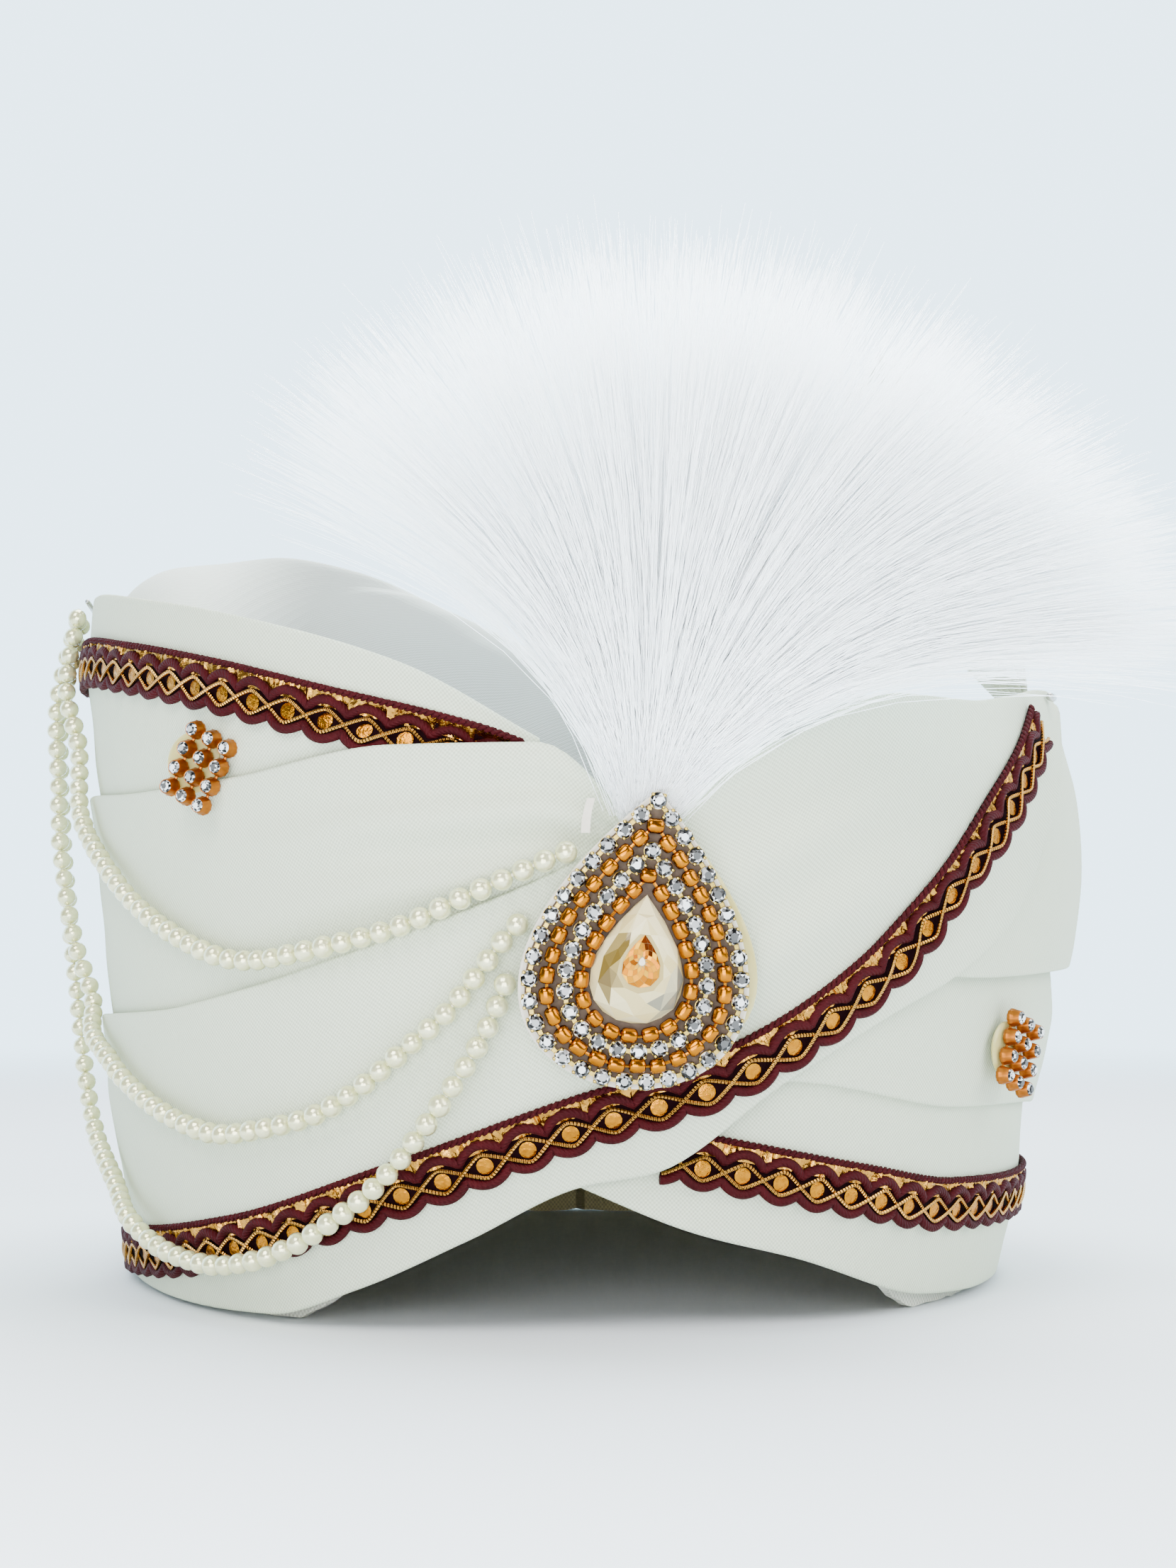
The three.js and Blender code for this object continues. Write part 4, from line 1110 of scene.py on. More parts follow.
@dataclass
class Trim:
    """Braid sewn along a wrap: cord, gold film, scalloped gimp, crossed gilt wires and sequins on a net."""

    name: str
    carrier: Wrap
    table: Table
    width: float = 9.7
    seat: float = 0.35
    repeat: float = 7.6
    cord_at: float = 0.62
    cord_lay: float = 2.3
    cord_height: float = 0.55
    ply_swing: float = 0.34
    ply_radius: float = 0.4
    film_from: float = 1.0
    film_to: float = 3.6
    film_height: float = 0.62
    film_under: float = 0.34
    film_crumple: float = 0.46
    film_crease: float = 0.14
    film_pitch: float = 1.15
    scallop_top: tuple[float, float] = (2.3, 4.35)
    scallop_foot: tuple[float, float] = (8.95, 7.1)
    gimp_radius: float = 0.84
    gimp_height: float = 0.7
    gimp_dip: float = 0.35
    net_foot: tuple[float, float] = (7.2, 1.5)
    net_height: float = 0.3
    net_gap: float = 0.02
    wire_middle: float = 5.9
    wire_swing: float = 1.95
    wire_crease: float = 0.95
    wire_radius: float = 0.34
    wire_height: float = 1.05
    wire_cross: float = 0.24
    sequin_radius: float = 1.45
    sequin_height: float = 0.6
    sequin_tip: float = 0.18

    STEP_DEG = 0.2
    STANDOFF = 8.0
    END = 0.3
    STRAND_STEP, NET_STEP, FILM_STEP = 0.42, 0.95, 0.36
    NET_COLUMNS, FILM_COLUMNS = 6, 5

    def __post_init__(self) -> None:
        """Measure the run of the braid's top edge."""
        first, last = self.table.keys[0], self.table.keys[-1]
        self.angles = np.linspace(first, last, int((last - first) / self.STEP_DEG) + 1)
        tops = self.table.at("top", self.angles)
        path = CORE.place(self.angles, tops, self.STANDOFF)
        step = np.gradient(path, self.angles, axis=0)
        self.level = np.linalg.norm(step[:, :2], axis=1)
        self.slope = np.arctan2(step[:, 2], self.level)
        self.run = run_along(path)

    def on_cloth(self, along: Array, down: Array, height: Array | float) -> Array:
        """Points over the braid.

        Args:
            along: place along the braid.
            down: place down from its top edge.
            height: height over its seat.

        Returns:
            The points.
        """
        along, down, height = np.broadcast_arrays(along, down, np.asarray(height, float))
        angle, slope = np.interp(along, self.run, self.angles), np.interp(along, self.run, self.slope)
        at = angle + down * np.sin(slope) / np.interp(along, self.run, self.level)
        z = self.table.at("top", angle) - down * np.cos(slope)
        return CORE.place(at, z, self.carrier.off(at, z) + self.seat + height)

    def strand(self, sketch: Sketch, along: Array, down: Array, height: Array, radius: float, sides: int,
               finish: int) -> None:
        """Sweep one round strand over the braid.

        Args:
            sketch: where the strand goes.
            along: places along the braid.
            down: its places down from the top edge.
            height: its heights over the seat.
            radius: its radius.
            sides: how many sides it has.
            finish: which finish it takes.
        """
        path = self.on_cloth(along, down, height)
        normal = self.on_cloth(along, down, np.asarray(height) + 1.0) - path
        sketch.add(*tube(path, normal, radius, sides), finish)

    def build(self) -> list[bpy.types.Object]:
        """Make the braid's strands, film, sequins and net.

        Returns:
            The cords with their net, and the metal on them.
        """
        cords, metal = Sketch(), Sketch()
        phase = math.pi / self.repeat
        fine = np.arange(self.END, self.run[-1] - self.END, self.STRAND_STEP)
        for ply in (0.0, math.pi):
            twist = 2 * math.pi * fine / self.cord_lay + ply
            down = self.cord_at + self.ply_swing * np.cos(twist)
            over = self.cord_height + self.ply_swing * np.sin(twist)
            self.strand(cords, fine, down, over, self.ply_radius, 6, 0)
        arch = self.arches(fine)
        over = self.gimp_height - self.gimp_dip * (1 - arch) ** 2
        for crest, cusp in (self.scallop_top, self.scallop_foot):
            self.strand(cords, fine, lerp(cusp, crest, arch), over, self.gimp_radius, 7, 0)
        corner = zigzag(phase * fine, self.wire_crease)
        for sign in (1.0, -1.0):
            over = self.wire_height + self.wire_cross * sign * np.sin(phase * fine)
            down = self.wire_middle + sign * self.wire_swing * corner
            self.strand(metal, fine, down, over, self.wire_radius, 6, 0)
        self.net(cords)
        self.film(metal)
        self.sequins(metal)
        braid = mount(cords.piece(f"{self.name}_cords", [CORD, NET], 60.0), Slot.BRAID, self.name)
        bright = mount(metal.piece(f"{self.name}_metal", [GILT, FOIL, SEQUIN], 50.0), Slot.GOLD, self.name)
        return [braid, bright]

    def arches(self, along: Array) -> Array:
        """The scallops' outline: 1 at each crest, dropping to 0 at the cusps between them."""
        return np.abs(np.cos(math.pi / self.repeat * along)) ** 0.75

    def net(self, sketch: Sketch) -> None:
        """Add the dark net under the strands, scalloped at its foot.

        Args:
            sketch: where it goes.
        """
        edge = 0.2
        along = np.arange(edge, self.run[-1] - edge, self.NET_STEP)[:, None]
        foot = self.net_foot[0] + self.net_foot[1] * self.arches(along)
        down = lerp(edge, foot, np.linspace(0, 1, self.NET_COLUMNS)[None, :])
        top, under = (self.on_cloth(along, down, height) for height in (self.net_height, self.net_gap))
        points = np.concatenate([top, under[:, ::-1]], axis=1)
        uv = np.stack(np.broadcast_arrays(along, np.concatenate([down, down[:, ::-1]], axis=1)), -1)
        sketch.add(points, capped_rings(len(along), 2 * self.NET_COLUMNS), uv.reshape(-1, 2), 1)

    def film(self, sketch: Sketch) -> None:
        """Add the crumpled gold film between the cord and the upper scallops.

        Args:
            sketch: where it goes.
        """
        noise = Ripples(5)
        along = np.arange(self.END, self.run[-1] - self.END, self.FILM_STEP)[:, None]
        across = np.linspace(0, 1, self.FILM_COLUMNS)[None, :]
        down = lerp(self.film_from, self.film_to, across)
        crumple = self.film_crumple * noise.at(along / 0.62, across * 1.6)
        crumple = crumple + self.film_crease * np.sin(2 * math.pi * along / self.film_pitch + 2 * across)
        top = self.on_cloth(along, down, self.film_height + crumple)
        under = self.on_cloth(along, down, self.film_under)
        points = np.concatenate([top, under[:, ::-1]], axis=1)
        sketch.add(points, capped_rings(len(along), 2 * self.FILM_COLUMNS), None, 1)

    def sequins(self, sketch: Sketch) -> None:
        """Add a domed sequin in each diamond, each a little tipped.

        Args:
            sketch: where they go.
        """
        draw = np.random.default_rng(29)
        dome, faces = lathe([(0, -0.12), (1.0, -0.12), (1.0, 0.02), (0.8, 0.08), (0.4, 0.12), (0, 0.13)], 14)
        beside, below, above = 0.5 * np.eye(4)[1:]
        for along in np.arange(self.repeat, self.run[-1] - self.repeat / 2, self.repeat):
            spot = self.on_cloth(along + beside, self.wire_middle + below, self.sequin_height + above)
            x, y, z = (unit(spot[k] - spot[0]) for k in (1, 2, 3))
            tip = draw.normal(0, self.sequin_tip, 2)
            z = unit(z + tip[0] * x + tip[1] * y)
            local = dome * [self.sequin_radius, self.sequin_radius, 1.0]
            sketch.add(spot[0] + local @ np.stack([x, y, z]), faces, None, 2)


@dataclass
class PearlString:
    """A string of imitation pearls hung from the pin and caught behind the brooch."""

    name: str
    table: Sequence[tuple[float, float, float]]
    wraps: Sequence[Wrap]
    trims: Sequence[Trim]
    seed: int
    pearl: float = 3.75
    pitch: float = 3.78
    gap: float = 0.4
    thread: float = 0.3
    braid_rise: float = 1.7
    uneven: float = 0.018
    out_of_round: float = 0.012

    RINGS, SIDES, STEPS = 10, 16, 24
    REACH = 3.0

    def cloth_off(self, angle: float, z: float) -> float:
        """How far the cloth near a place stands off the core, or the braid on it.

        Args:
            angle: plan angle.
            z: height.

        Returns:
            The outermost face's distance.
        """
        faces = []
        for wrap in self.wraps:
            low, high = wrap.edges(np.array(angle))
            for near in (z - self.REACH, z, z + self.REACH):
                faces.append(float(wrap.off(angle, near)) if low <= near <= high else 0.0)
        over = [trim.table.at("top", angle) - z for trim in self.trims]
        braid = any(-self.pearl < o < t.width + 2 * self.pearl for o, t in zip(over, self.trims))
        return max(faces) + (self.braid_rise if braid else 0.0)

    def route(self) -> Array:
        """Smooth path through the table's places.

        Returns:
            Points in steps much shorter than a pearl.
        """
        knots = np.array([
            CORE.place(angle, z, self.cloth_off(angle, z) + self.pearl / 2 + self.gap + clear)
            for angle, z, clear in self.table
        ])
        padded = np.concatenate([[2 * knots[0] - knots[1]], knots, [2 * knots[-1] - knots[-2]]])
        share = np.linspace(0, 1, self.STEPS, endpoint=False)[:, None]
        spans = []
        for a, b, c, d in zip(padded, padded[1:], padded[2:], padded[3:]):
            spans.append(0.5 * (2 * b + (c - a) * share + (2 * a - 5 * b + 4 * c - d) * share ** 2
                                + (3 * b - a - 3 * c + d) * share ** 3))
        return np.concatenate([*spans, knots[-1:]])

    def build(self) -> bpy.types.Object:
        """Make the pearls, each a little uneven, on their thread.

        Returns:
            The piece.
        """
        draw = np.random.default_rng(self.seed)
        path = self.route()
        run = run_along(path)
        latitude = np.linspace(-math.pi / 2, math.pi / 2, self.RINGS)[1:-1]
        ball, faces = lathe([(0, -1), *((math.cos(a), math.sin(a)) for a in latitude), (0, 1)], self.SIDES)
        sketch = Sketch()
        count = round(run[-1] / self.pitch)
        for at in (np.arange(count) + 0.5) * run[-1] / count:
            centre = [np.interp(at, run, path[:, k]) for k in range(3)]
            size = self.pearl / 2 * draw.normal(1.0, self.uneven)
            turn = np.array(Vector(draw.normal(0, 1, 3)).to_track_quat("Z", "Y").to_matrix())
            shape = ball * size * draw.normal(1.0, self.out_of_round, 3)
            sketch.add(shape @ turn.T + centre, faces)
        normal = np.tile([[0.0, 0.0, 1.0]], (len(path), 1)) + np.array([[0.3, 0.1, 0.0]])
        sketch.add(*tube(path, normal, self.thread, 6), 1)
        LOG.info("%s is %.0f mm long", self.name, run[-1])
        return mount(sketch.piece(f"{self.name}_beads", [PEARL, THREAD], 60.0), Slot.PEARL, self.name)


@dataclass
class Plume:
    """Fan of fine bristles that springs from behind the brooch's tip."""

    base: tuple[float, float, float] = (12.0, -116.3, 91.0)
    left_deg: float = -57.0
    right_deg: float = 82.0
    lean_deg: float = 7.0
    curl_deg: float = 20.0
    fibres: int = 3600
    steps: int = 7
    radius: float = 0.075
    clumps: int = 38
    clump_pull: float = 0.5
    start_share: tuple[float, float] = (0.45, 0.5)
    ragged: tuple[float, float] = (0.86, 1.04)
    sunk: float = 4.0
    turn_deg: float = 4.0
    stray_deg: float = 2.6
    bow_stray_deg: float = 5.0
    lean_stray_deg: float = 4.2
    root_spread: tuple[float, float, float] = (1.3, 0.35, 1.2)
    root_fan: float = 2.6
    tip_taper: float = 0.55
    tape_foot: tuple[float, float, float] = (2.6, -117.6, 83.0)
    tape_length: float = 5.6
    lengths: Table = field(default_factory=lambda: Table("at length", [
        (0, 86), (0.14, 92), (0.36, 94), (0.6, 94), (0.8, 95), (0.92, 98), (1, 92),
    ]))

    def spread(self, draw: np.random.Generator) -> Array:
        """Spread the fibres over the fan, thin on the left and dense on the right.

        Args:
            draw: where the places come from.

        Returns:
            The share of the fan that each fibre heads for.
        """
        wanted = draw.uniform(0, 1, 6 * self.fibres)
        kept = draw.uniform(0, 1, len(wanted)) < lerp(0.4, 1.0, smooth((wanted - 0.05) / 0.45))
        return wanted[kept][:self.fibres]

    def bundle(self, seed: int) -> tuple[Array, Array]:
        """Paths of one layer of fibres.

        Args:
            seed: the layer's seed.

        Returns:
            Points along each fibre, and each fibre's direction across the fan.
        """
        draw = np.random.default_rng(seed)
        share = self.spread(draw)
        count = len(share)
        clump = draw.integers(0, self.clumps, count)
        centres = np.sort(draw.uniform(0, 1, self.clumps))
        nearest = centres[np.abs(share[:, None] - centres).argmin(1)]
        share = np.clip(lerp(share, nearest, self.clump_pull), 0, 1)
        fan = lerp(self.left_deg, self.right_deg, share)
        finish = np.radians(fan + draw.normal(0, self.stray_deg, count))
        start = finish * lerp(*self.start_share, smooth((share - 0.8) / 0.2)) + math.radians(self.turn_deg)
        stray = np.radians(draw.normal(0, self.bow_stray_deg, count))
        bow = math.radians(self.curl_deg) * (share - 0.4) + stray
        back = np.radians(self.lean_deg + draw.normal(0, self.lean_stray_deg, count))
        ragged = draw.uniform(*self.ragged, self.clumps)[clump] * draw.uniform(0.86, 1.0, count) ** 0.6
        length = self.lengths.at("length", share) * ragged
        root = np.array(self.base) + draw.normal(0, 1, (count, 3)) * self.root_spread
        root[:, 0] += self.root_fan * np.sin(finish)
        root[:, 2] -= self.sunk
        points = [root]
        for k in range(self.steps):
            s = (k + 0.5) / self.steps
            heading = lerp(start, finish, min(1.0, 1.5 * s)) + bow * s * s
            level, rise = np.sin(heading), np.cos(heading)
            along = np.stack([level, rise * np.sin(back), rise * np.cos(back)], -1)
            points.append(points[-1] + along * ((length + self.sunk) / self.steps)[:, None])
        across = np.stack([np.cos(finish), np.zeros(count), -np.sin(finish)], -1)
        return np.stack(points, 1), across

    def tape(self) -> bpy.types.Object:
        """Make the loose end of the tape that binds the fibres, left of the brooch's tip.

        Returns:
            The piece.
        """
        rows = 9
        rise = np.linspace(0, 1, rows)[:, None]
        corner = np.array([[-0.75, -0.15], [0.75, -0.15], [0.75, 0.15], [-0.75, 0.15]])
        x = self.tape_foot[0] + 0.9 * rise ** 2 + corner[:, 0] * (1 - 0.15 * rise)
        y = self.tape_foot[1] - 0.35 * np.sin(math.pi * rise) + corner[:, 1]
        points = np.stack(np.broadcast_arrays(x, y, self.tape_foot[2] + self.tape_length * rise), -1)
        sketch = Sketch()
        sketch.add(points, capped_rings(rows, len(corner)))
        return mount(sketch.piece("plume_tape", [BACKING]), Slot.BRISTLE, "plume")

    def build(self, layer: str, seed: int) -> bpy.types.Object:
        """Make one layer of fibres, each three-sided and tapered.

        Args:
            layer: the layer's name.
            seed: the layer's seed.

        Returns:
            The piece.
        """
        paths, across = self.bundle(seed)
        count, rings = paths.shape[:2]
        depth = np.array([0.0, -1.0, 0.0])
        taper = np.linspace(1.0, self.tip_taper, rings)[None, :, None, None] * self.radius
        turn = np.radians([90, 210, 330])
        corner = np.cos(turn)[None, :, None] * across[:, None] + np.sin(turn)[None, :, None] * depth
        points = paths[:, :, None] + taper * corner[:, None]
        one = grid_faces(rings, 3, closed=True)
        caps = [[2, 1, 0], [3 * rings - 3, 3 * rings - 2, 3 * rings - 1]]
        step = np.arange(count)[:, None, None] * 3 * rings
        sketch = Sketch()
        sketch.add(points, (one[None] + step).reshape(-1, 4))
        sketch.faces += (np.array(caps)[None] + step).reshape(-1, 3).tolist()
        sketch.finish += [0] * (2 * count)
        sketch.tones += [(1.0, 1.0, 1.0)] * (2 * count)
        return mount(sketch.piece(f"plume_{layer}", [BRISTLE], 180.0), Slot.BRISTLE, "plume")


# Brooch and ornaments


@dataclass(frozen=True)
class Seat:
    """Where a flat ornament sits: turned to face out of the cloth, pitched, then rolled clockwise."""

    position: tuple[float, float, float]
    yaw: float
    pitch: float
    roll: float

    def points(self, local: Array) -> Array:
        """Move points from the ornament's own plane to the turban.

        Args:
            local: points in that plane.

        Returns:
            The same points on the turban.
        """
        yaw, pitch, roll = (Matrix.Rotation(math.radians(degrees), 3, axis) for degrees, axis in (
            (self.yaw, "Z"), (90 + self.pitch, "X"), (-self.roll, "Z")))
        turn = yaw @ pitch @ roll
        return np.asarray(local, float) @ np.array(turn).T + np.array(self.position)

    def link(self, path: Array, radius: float) -> tuple[Array, list, Array]:
        """Thin thread or bar along a path in the ornament's own plane."""
        out = self.points([[0, 0, 1]]) - self.points([[0, 0, 0]])
        return tube(self.points(path), np.repeat(out, len(path), 0), radius, 6)


def about_z(cosine: float, sine: float) -> Array:
    """Matrix of a turn in an ornament's own plane."""
    return np.array([[cosine, -sine, 0], [sine, cosine, 0], [0, 0, 1]])


def teardrop(width: float, height: float, shift: float, count: int,
             start: float = 0.0) -> tuple[Array, Array]:
    """Points spaced evenly round a teardrop with its tip up.

    Args:
        width: its widest.
        height: its height.
        shift: how far its middle lies above the brooch's.
        count: how many points.
        start: where the first lies, in steps from the tip.

    Returns:
        Points in the plane, and the direction along the outline at each.
    """
    # Largest value of sin(t) sin(t / 2)
    widest = 0.7698
    turn = np.linspace(0, 2 * math.pi, 1441)
    x = -width / 2 * np.sin(turn) * np.sin(turn / 2) / widest
    y = height / 2 * np.cos(turn) + shift
    run = np.concatenate([[0.0], np.cumsum(np.hypot(np.diff(x), np.diff(y)))])
    at = (np.arange(count) + start) / count * run[-1]
    ahead, behind = (at + 0.4) % run[-1], (at - 0.4) % run[-1]
    points = np.stack([np.interp(at, run, x), np.interp(at, run, y)], -1)
    along = np.stack([np.interp(ahead, run, x) - np.interp(behind, run, x),
                      np.interp(ahead, run, y) - np.interp(behind, run, y)], -1)
    return points, unit(along)


def chaton(radius: float, draw: np.random.Generator) -> tuple[Array, list, list]:
    """Round cut stone with a table, a tier of stars and a tier of kites, standing on z = 0.

    Args:
        radius: its radius.
        draw: where the facets' tones come from.

    Returns:
        Points, faces, and a tone for each face, a painted reflection.
    """
    tiers = [(0.94, -0.25, 16, 0.0), (1.0, 0.05, 16, 0.0), (0.76, 0.36, 8, 0.0), (0.46, 0.52, 8, 0.5)]
    points, starts = [], []
    for scale, height, sides, shift in tiers:
        turn = 2 * math.pi * (np.arange(sides) + shift) / sides
        starts.append(sum(len(p) for p in points))
        points.append(np.stack([scale * radius * np.cos(turn), scale * radius * np.sin(turn),
                                np.full(sides, height * radius)], -1))
    foot, girdle, kite, table = starts
    faces = [[foot + k, foot + (k + 1) % 16, girdle + (k + 1) % 16, girdle + k] for k in range(16)]
    faces.append([foot + k for k in range(15, -1, -1)])
    for k in range(8):
        low, after = girdle + 2 * k, (k + 1) % 8
        faces.append([low, low + 1, kite + k])
        faces.append([low + 1, girdle + (2 * k + 2) % 16, kite + after])
        faces.append([low + 1, kite + after, kite + k])
        faces.append([kite + k, kite + after, table + k])
        faces.append([kite + after, table + after, table + k])
    faces.append([table + k for k in range(8)])
    # Painted reflections: each facet bright or dark at random, the foot and girdle band dark, the table one
    # of three tones
    bright = draw.choice(FACET_REFLECTIONS, len(faces), p=FACET_ODDS)
    bright[:17] = 0.12
    bright[-1] = draw.choice([0.1, 0.4, 0.9])
    tones = [(b * 0.95, b * 0.98, b) for b in bright]
    return np.concatenate(points), faces, tones


@dataclass
class Brooch:
    """Teardrop brooch: two rings of set stones and two rows of copper beads round a champagne drop."""

    seat: Seat = Seat((11.3, -115.8, 66.0), yaw=6.0, pitch=5.0, roll=6.5)
    width: float = 37.5
    height: float = 48.5
    backing: float = 1.6
    rows: Table = field(default_factory=lambda: Table("row width height shift count", [
        (0, 34.4, 45.4, -0.2, 34), (1, 28.8, 38.8, -0.9, 31), (2, 23.0, 32.4, -1.8, 25),
        (3, 17.7, 25.8, -2.6, 20),
    ]))
    stone_radius: float = 1.38
    cup_radius: float = 1.44
    claw_reach: float = 1.36
    bead_radius: float = 1.24
    bead_length: float = 2.7
    drop_width: float = 15.2
    drop_height: float = 20.8
    drop_shift: float = -3.1
    drop_depth: float = 4.6
    drop_gap: float = 0.15
    heart_share: float = 0.41
    heart_gap: float = 0.1
    heart_tilt: float = 0.07
    thread: float = 0.26
    pad_size: tuple[float, float] = (31.0, 38.0)
    pad_shift: float = 4.8

    def row(self, index: int, start: float = 0.0) -> tuple[Array, Array]:
        """Places and directions of a row of stones or beads."""
        return teardrop(*self.outline(index), round(float(self.rows.at("count", index))), start)

    def outline(self, index: int) -> list[float]:
        """Width, height and shift of a row's teardrop."""
        return [float(self.rows.at(column, index)) for column in ("width", "height", "shift")]

    def build(self) -> None:
        """Make every piece of the brooch."""
        self.plate()
        self.stone_ring("brooch_ring_outer", index=0, level=2.5)
        self.stone_ring("brooch_ring_inner", index=2, level=2.9)
        self.beads()
        self.drop()
        self.pad()

    def slab(self, sketch: Sketch, width: float, height: float, low: float, high: float, bevel: float,
             finish: int) -> None:
        """Add a teardrop slab with rounded edges.

        Args:
            sketch: where it goes.
            width: its widest.
            height: its height.
            low: its lower face.
            high: its upper face.
            bevel: how far its edges are rounded.
            finish: which finish it takes.
        """
        sides = 96
        tiers = [(bevel, low), (0.0, low + bevel), (0.0, high - bevel), (bevel, high)]
        rings = []
        for inset, z in tiers:
            outline, _ = teardrop(width - 2 * inset, height - 2 * inset, 0.0, sides)
            rings.append(np.column_stack([outline, np.full(sides, z)]))
        sketch.add(self.seat.points(np.concatenate(rings)), capped_rings(len(tiers), sides), None, finish)

    def plate(self) -> None:
        """Make the backing with its satin ground."""
        sketch = Sketch()
        self.slab(sketch, self.width, self.height, 0.0, self.backing - 0.3, 0.3, 0)
        self.slab(sketch, self.width - 1.9, self.height - 2.1, self.backing - 0.28, self.backing, 0.1, 1)
        mount(sketch.piece("brooch_plate", [BACKING, SATIN], 30.0), Slot.GOLD, "brooch_backing")

    def stone_ring(self, name: str, index: int, level: float) -> None:
        """Make one ring of stones in brass cups, linked by small bars.

        Args:
            name: the solid that the ring stands for.
            index: the ring's row.
            level: height of the stones' girdle.
        """
        draw = np.random.default_rng(100 + index)
        sketch = Sketch()
        places, along = self.row(index)
        r, lip = self.cup_radius, level - 1.7
        wall = [(0, 0.0), (r * 0.8, 0.0), (r * 0.94, level * 0.25), (r, lip), (r * 0.86, lip + 0.08),
                (0, lip)]
        cup, cup_faces = lathe(wall, 16)
        claw, claw_faces = lathe([(0, -0.5), (0.3, -0.5), (0.32, 0.15), (0.2, 0.32), (0, 0.36)], 7)
        bar = np.array([[x, y, z] for x in (-0.34, 0.34) for y in (-0.34, 0.34) for z in (-0.2, 0.45)])
        bar_faces = [[0, 1, 3, 2], [4, 6, 7, 5], [0, 4, 5, 1], [2, 3, 7, 6], [0, 2, 6, 4], [1, 5, 7, 3]]
        between, _ = self.row(index, 0.5)
        top = self.backing + 0.05
        for (x, y), (u, v), (bx, by) in zip(places, along, between):
            spin = about_z(u, v)
            place = np.array([x, y, top])
            sketch.add(self.seat.points(cup + place), cup_faces, None, 0)
            stone, faces, tones = chaton(self.stone_radius, draw)
            turn = draw.uniform(0, math.pi / 4)
            roll = about_z(math.cos(turn), math.sin(turn))
            sketch.add(self.seat.points(stone @ roll.T + place + [0, 0, lip + 0.1]), faces, None, 1, tones)
            for a in np.radians([45, 135, 225, 315]):
                reach = np.array([self.claw_reach * math.cos(a), self.claw_reach * math.sin(a), lip + 0.2])
                sketch.add(self.seat.points(claw + spin @ reach + place), claw_faces, None, 0)
            sketch.add(self.seat.points(bar @ spin.T + [bx, by, top + 0.3]), bar_faces, None, 0)
        mount(sketch.piece(f"{name}_stones", [BRASS, CHATON], 15.0), Slot.STONE, name)

    def beads(self) -> None:
        """Make the two rows of copper beads on their thread."""
        draw = np.random.default_rng(7)
        sketch = Sketch()
        half, r = self.bead_length / 2, self.bead_radius
        rise = [(0.3, -half + 0.25), (0.62 * r, -half), (0.9 * r, -half + 0.22), (r, -half + 0.65)]
        profile = rise + [(q, -h) for q, h in rise[::-1]]
        sides = 16
        turn = np.linspace(0, 2 * math.pi, sides, endpoint=False)
        ring = np.array([[h, q * math.cos(a), q * math.sin(a)] for q, h in profile for a in turn])
        faces = grid_faces(len(profile), sides, closed=True, round_rows=True)
        level = self.backing + r + 0.1
        for index in (1, 3):
            places, along = self.row(index)
            for (x, y), (u, v) in zip(places, along):
                spin = about_z(u, v)
                grown = ring * [draw.normal(1, 0.05), *([draw.normal(1, 0.025)] * 2)]
                nudge = [*draw.normal(0, 0.1, 2), 0]
                sketch.add(self.seat.points(grown @ spin.T + [x, y, level] + nudge), faces)
            loop, _ = teardrop(*self.outline(index), 160)
            sketch.add(*self.seat.link(np.column_stack([loop, np.full(len(loop), level)]), self.thread))
        piece = sketch.piece("brooch_seed_beads", [COPPER_BEAD], 50.0)
        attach(piece, BODY)
        LOG.info("%s: %d faces", piece.name, len(piece.data.polygons))

    def drop(self) -> None:
        """Make the champagne drop: broad pale facets, with painted reflections tawny at the upper left and
        grey at the lower right.
        """
        draw = np.random.default_rng(41)
        sides = 11
        tiers = [(0.97, 0.0), (1.0, 0.45), (1.0, 1.1), (0.86, 2.9), (0.66, 4.0), (0.5, self.drop_depth)]
        rings = []
        for k, (scale, z) in enumerate(tiers):
            outline, _ = teardrop(self.drop_width * scale, self.drop_height * scale, self.drop_shift, sides,
                                  0.5 if k % 2 else 0.0)
            rings.append(np.column_stack([outline, np.full(sides, z + self.backing + self.drop_gap)]))
        white, pale, tawny, umber, grey = (
            np.array(linear(c)[:3]) for c in ("dccf9f", "c6b274", "5a4614", "3c1a08", "6e6d62"))
        last = (len(rings) - 1) * sides
        faces = [list(range(sides))[::-1], [last + k for k in range(sides)]]
        tones = [tuple(umber), tuple(lerp(pale, tawny, 0.35))]
        for r in range(len(rings) - 1):
            near, far = r * sides, (r + 1) * sides
            for k in range(sides):
                after = (k + 1) % sides
                halves = ([near + k, near + after, far + k], [near + after, far + after, far + k])
                if r % 2:
                    halves = ([near + k, near + after, far + after], [near + k, far + after, far + k])
                for face in halves:
                    tone = lerp(white, pale, draw.choice([0.0, 0.1, 0.3, 0.7]))
                    # Painted reflections: a tawny patch at the upper left and grey facets at the lower right
                    if r > 2 and 1 <= k < 4:
                        tone = lerp(pale, tawny, draw.uniform(0.55, 1.0))
                    elif r in (2, 3) and k in (6, 7):
                        tone = lerp(white, grey, draw.uniform(0.3, 1.0))
                    faces.append(face)
                    tones.append(tuple(umber if r == 0 else tone))
        sketch = Sketch()
        sketch.add(self.seat.points(np.concatenate(rings)), faces, None, 0, tones)
        self.heart(sketch, draw)
        mount(sketch.piece("centre_stone_drop", [CHAMPAGNE, COPPER_HEART], 8.0), Slot.STONE, "centre_stone")

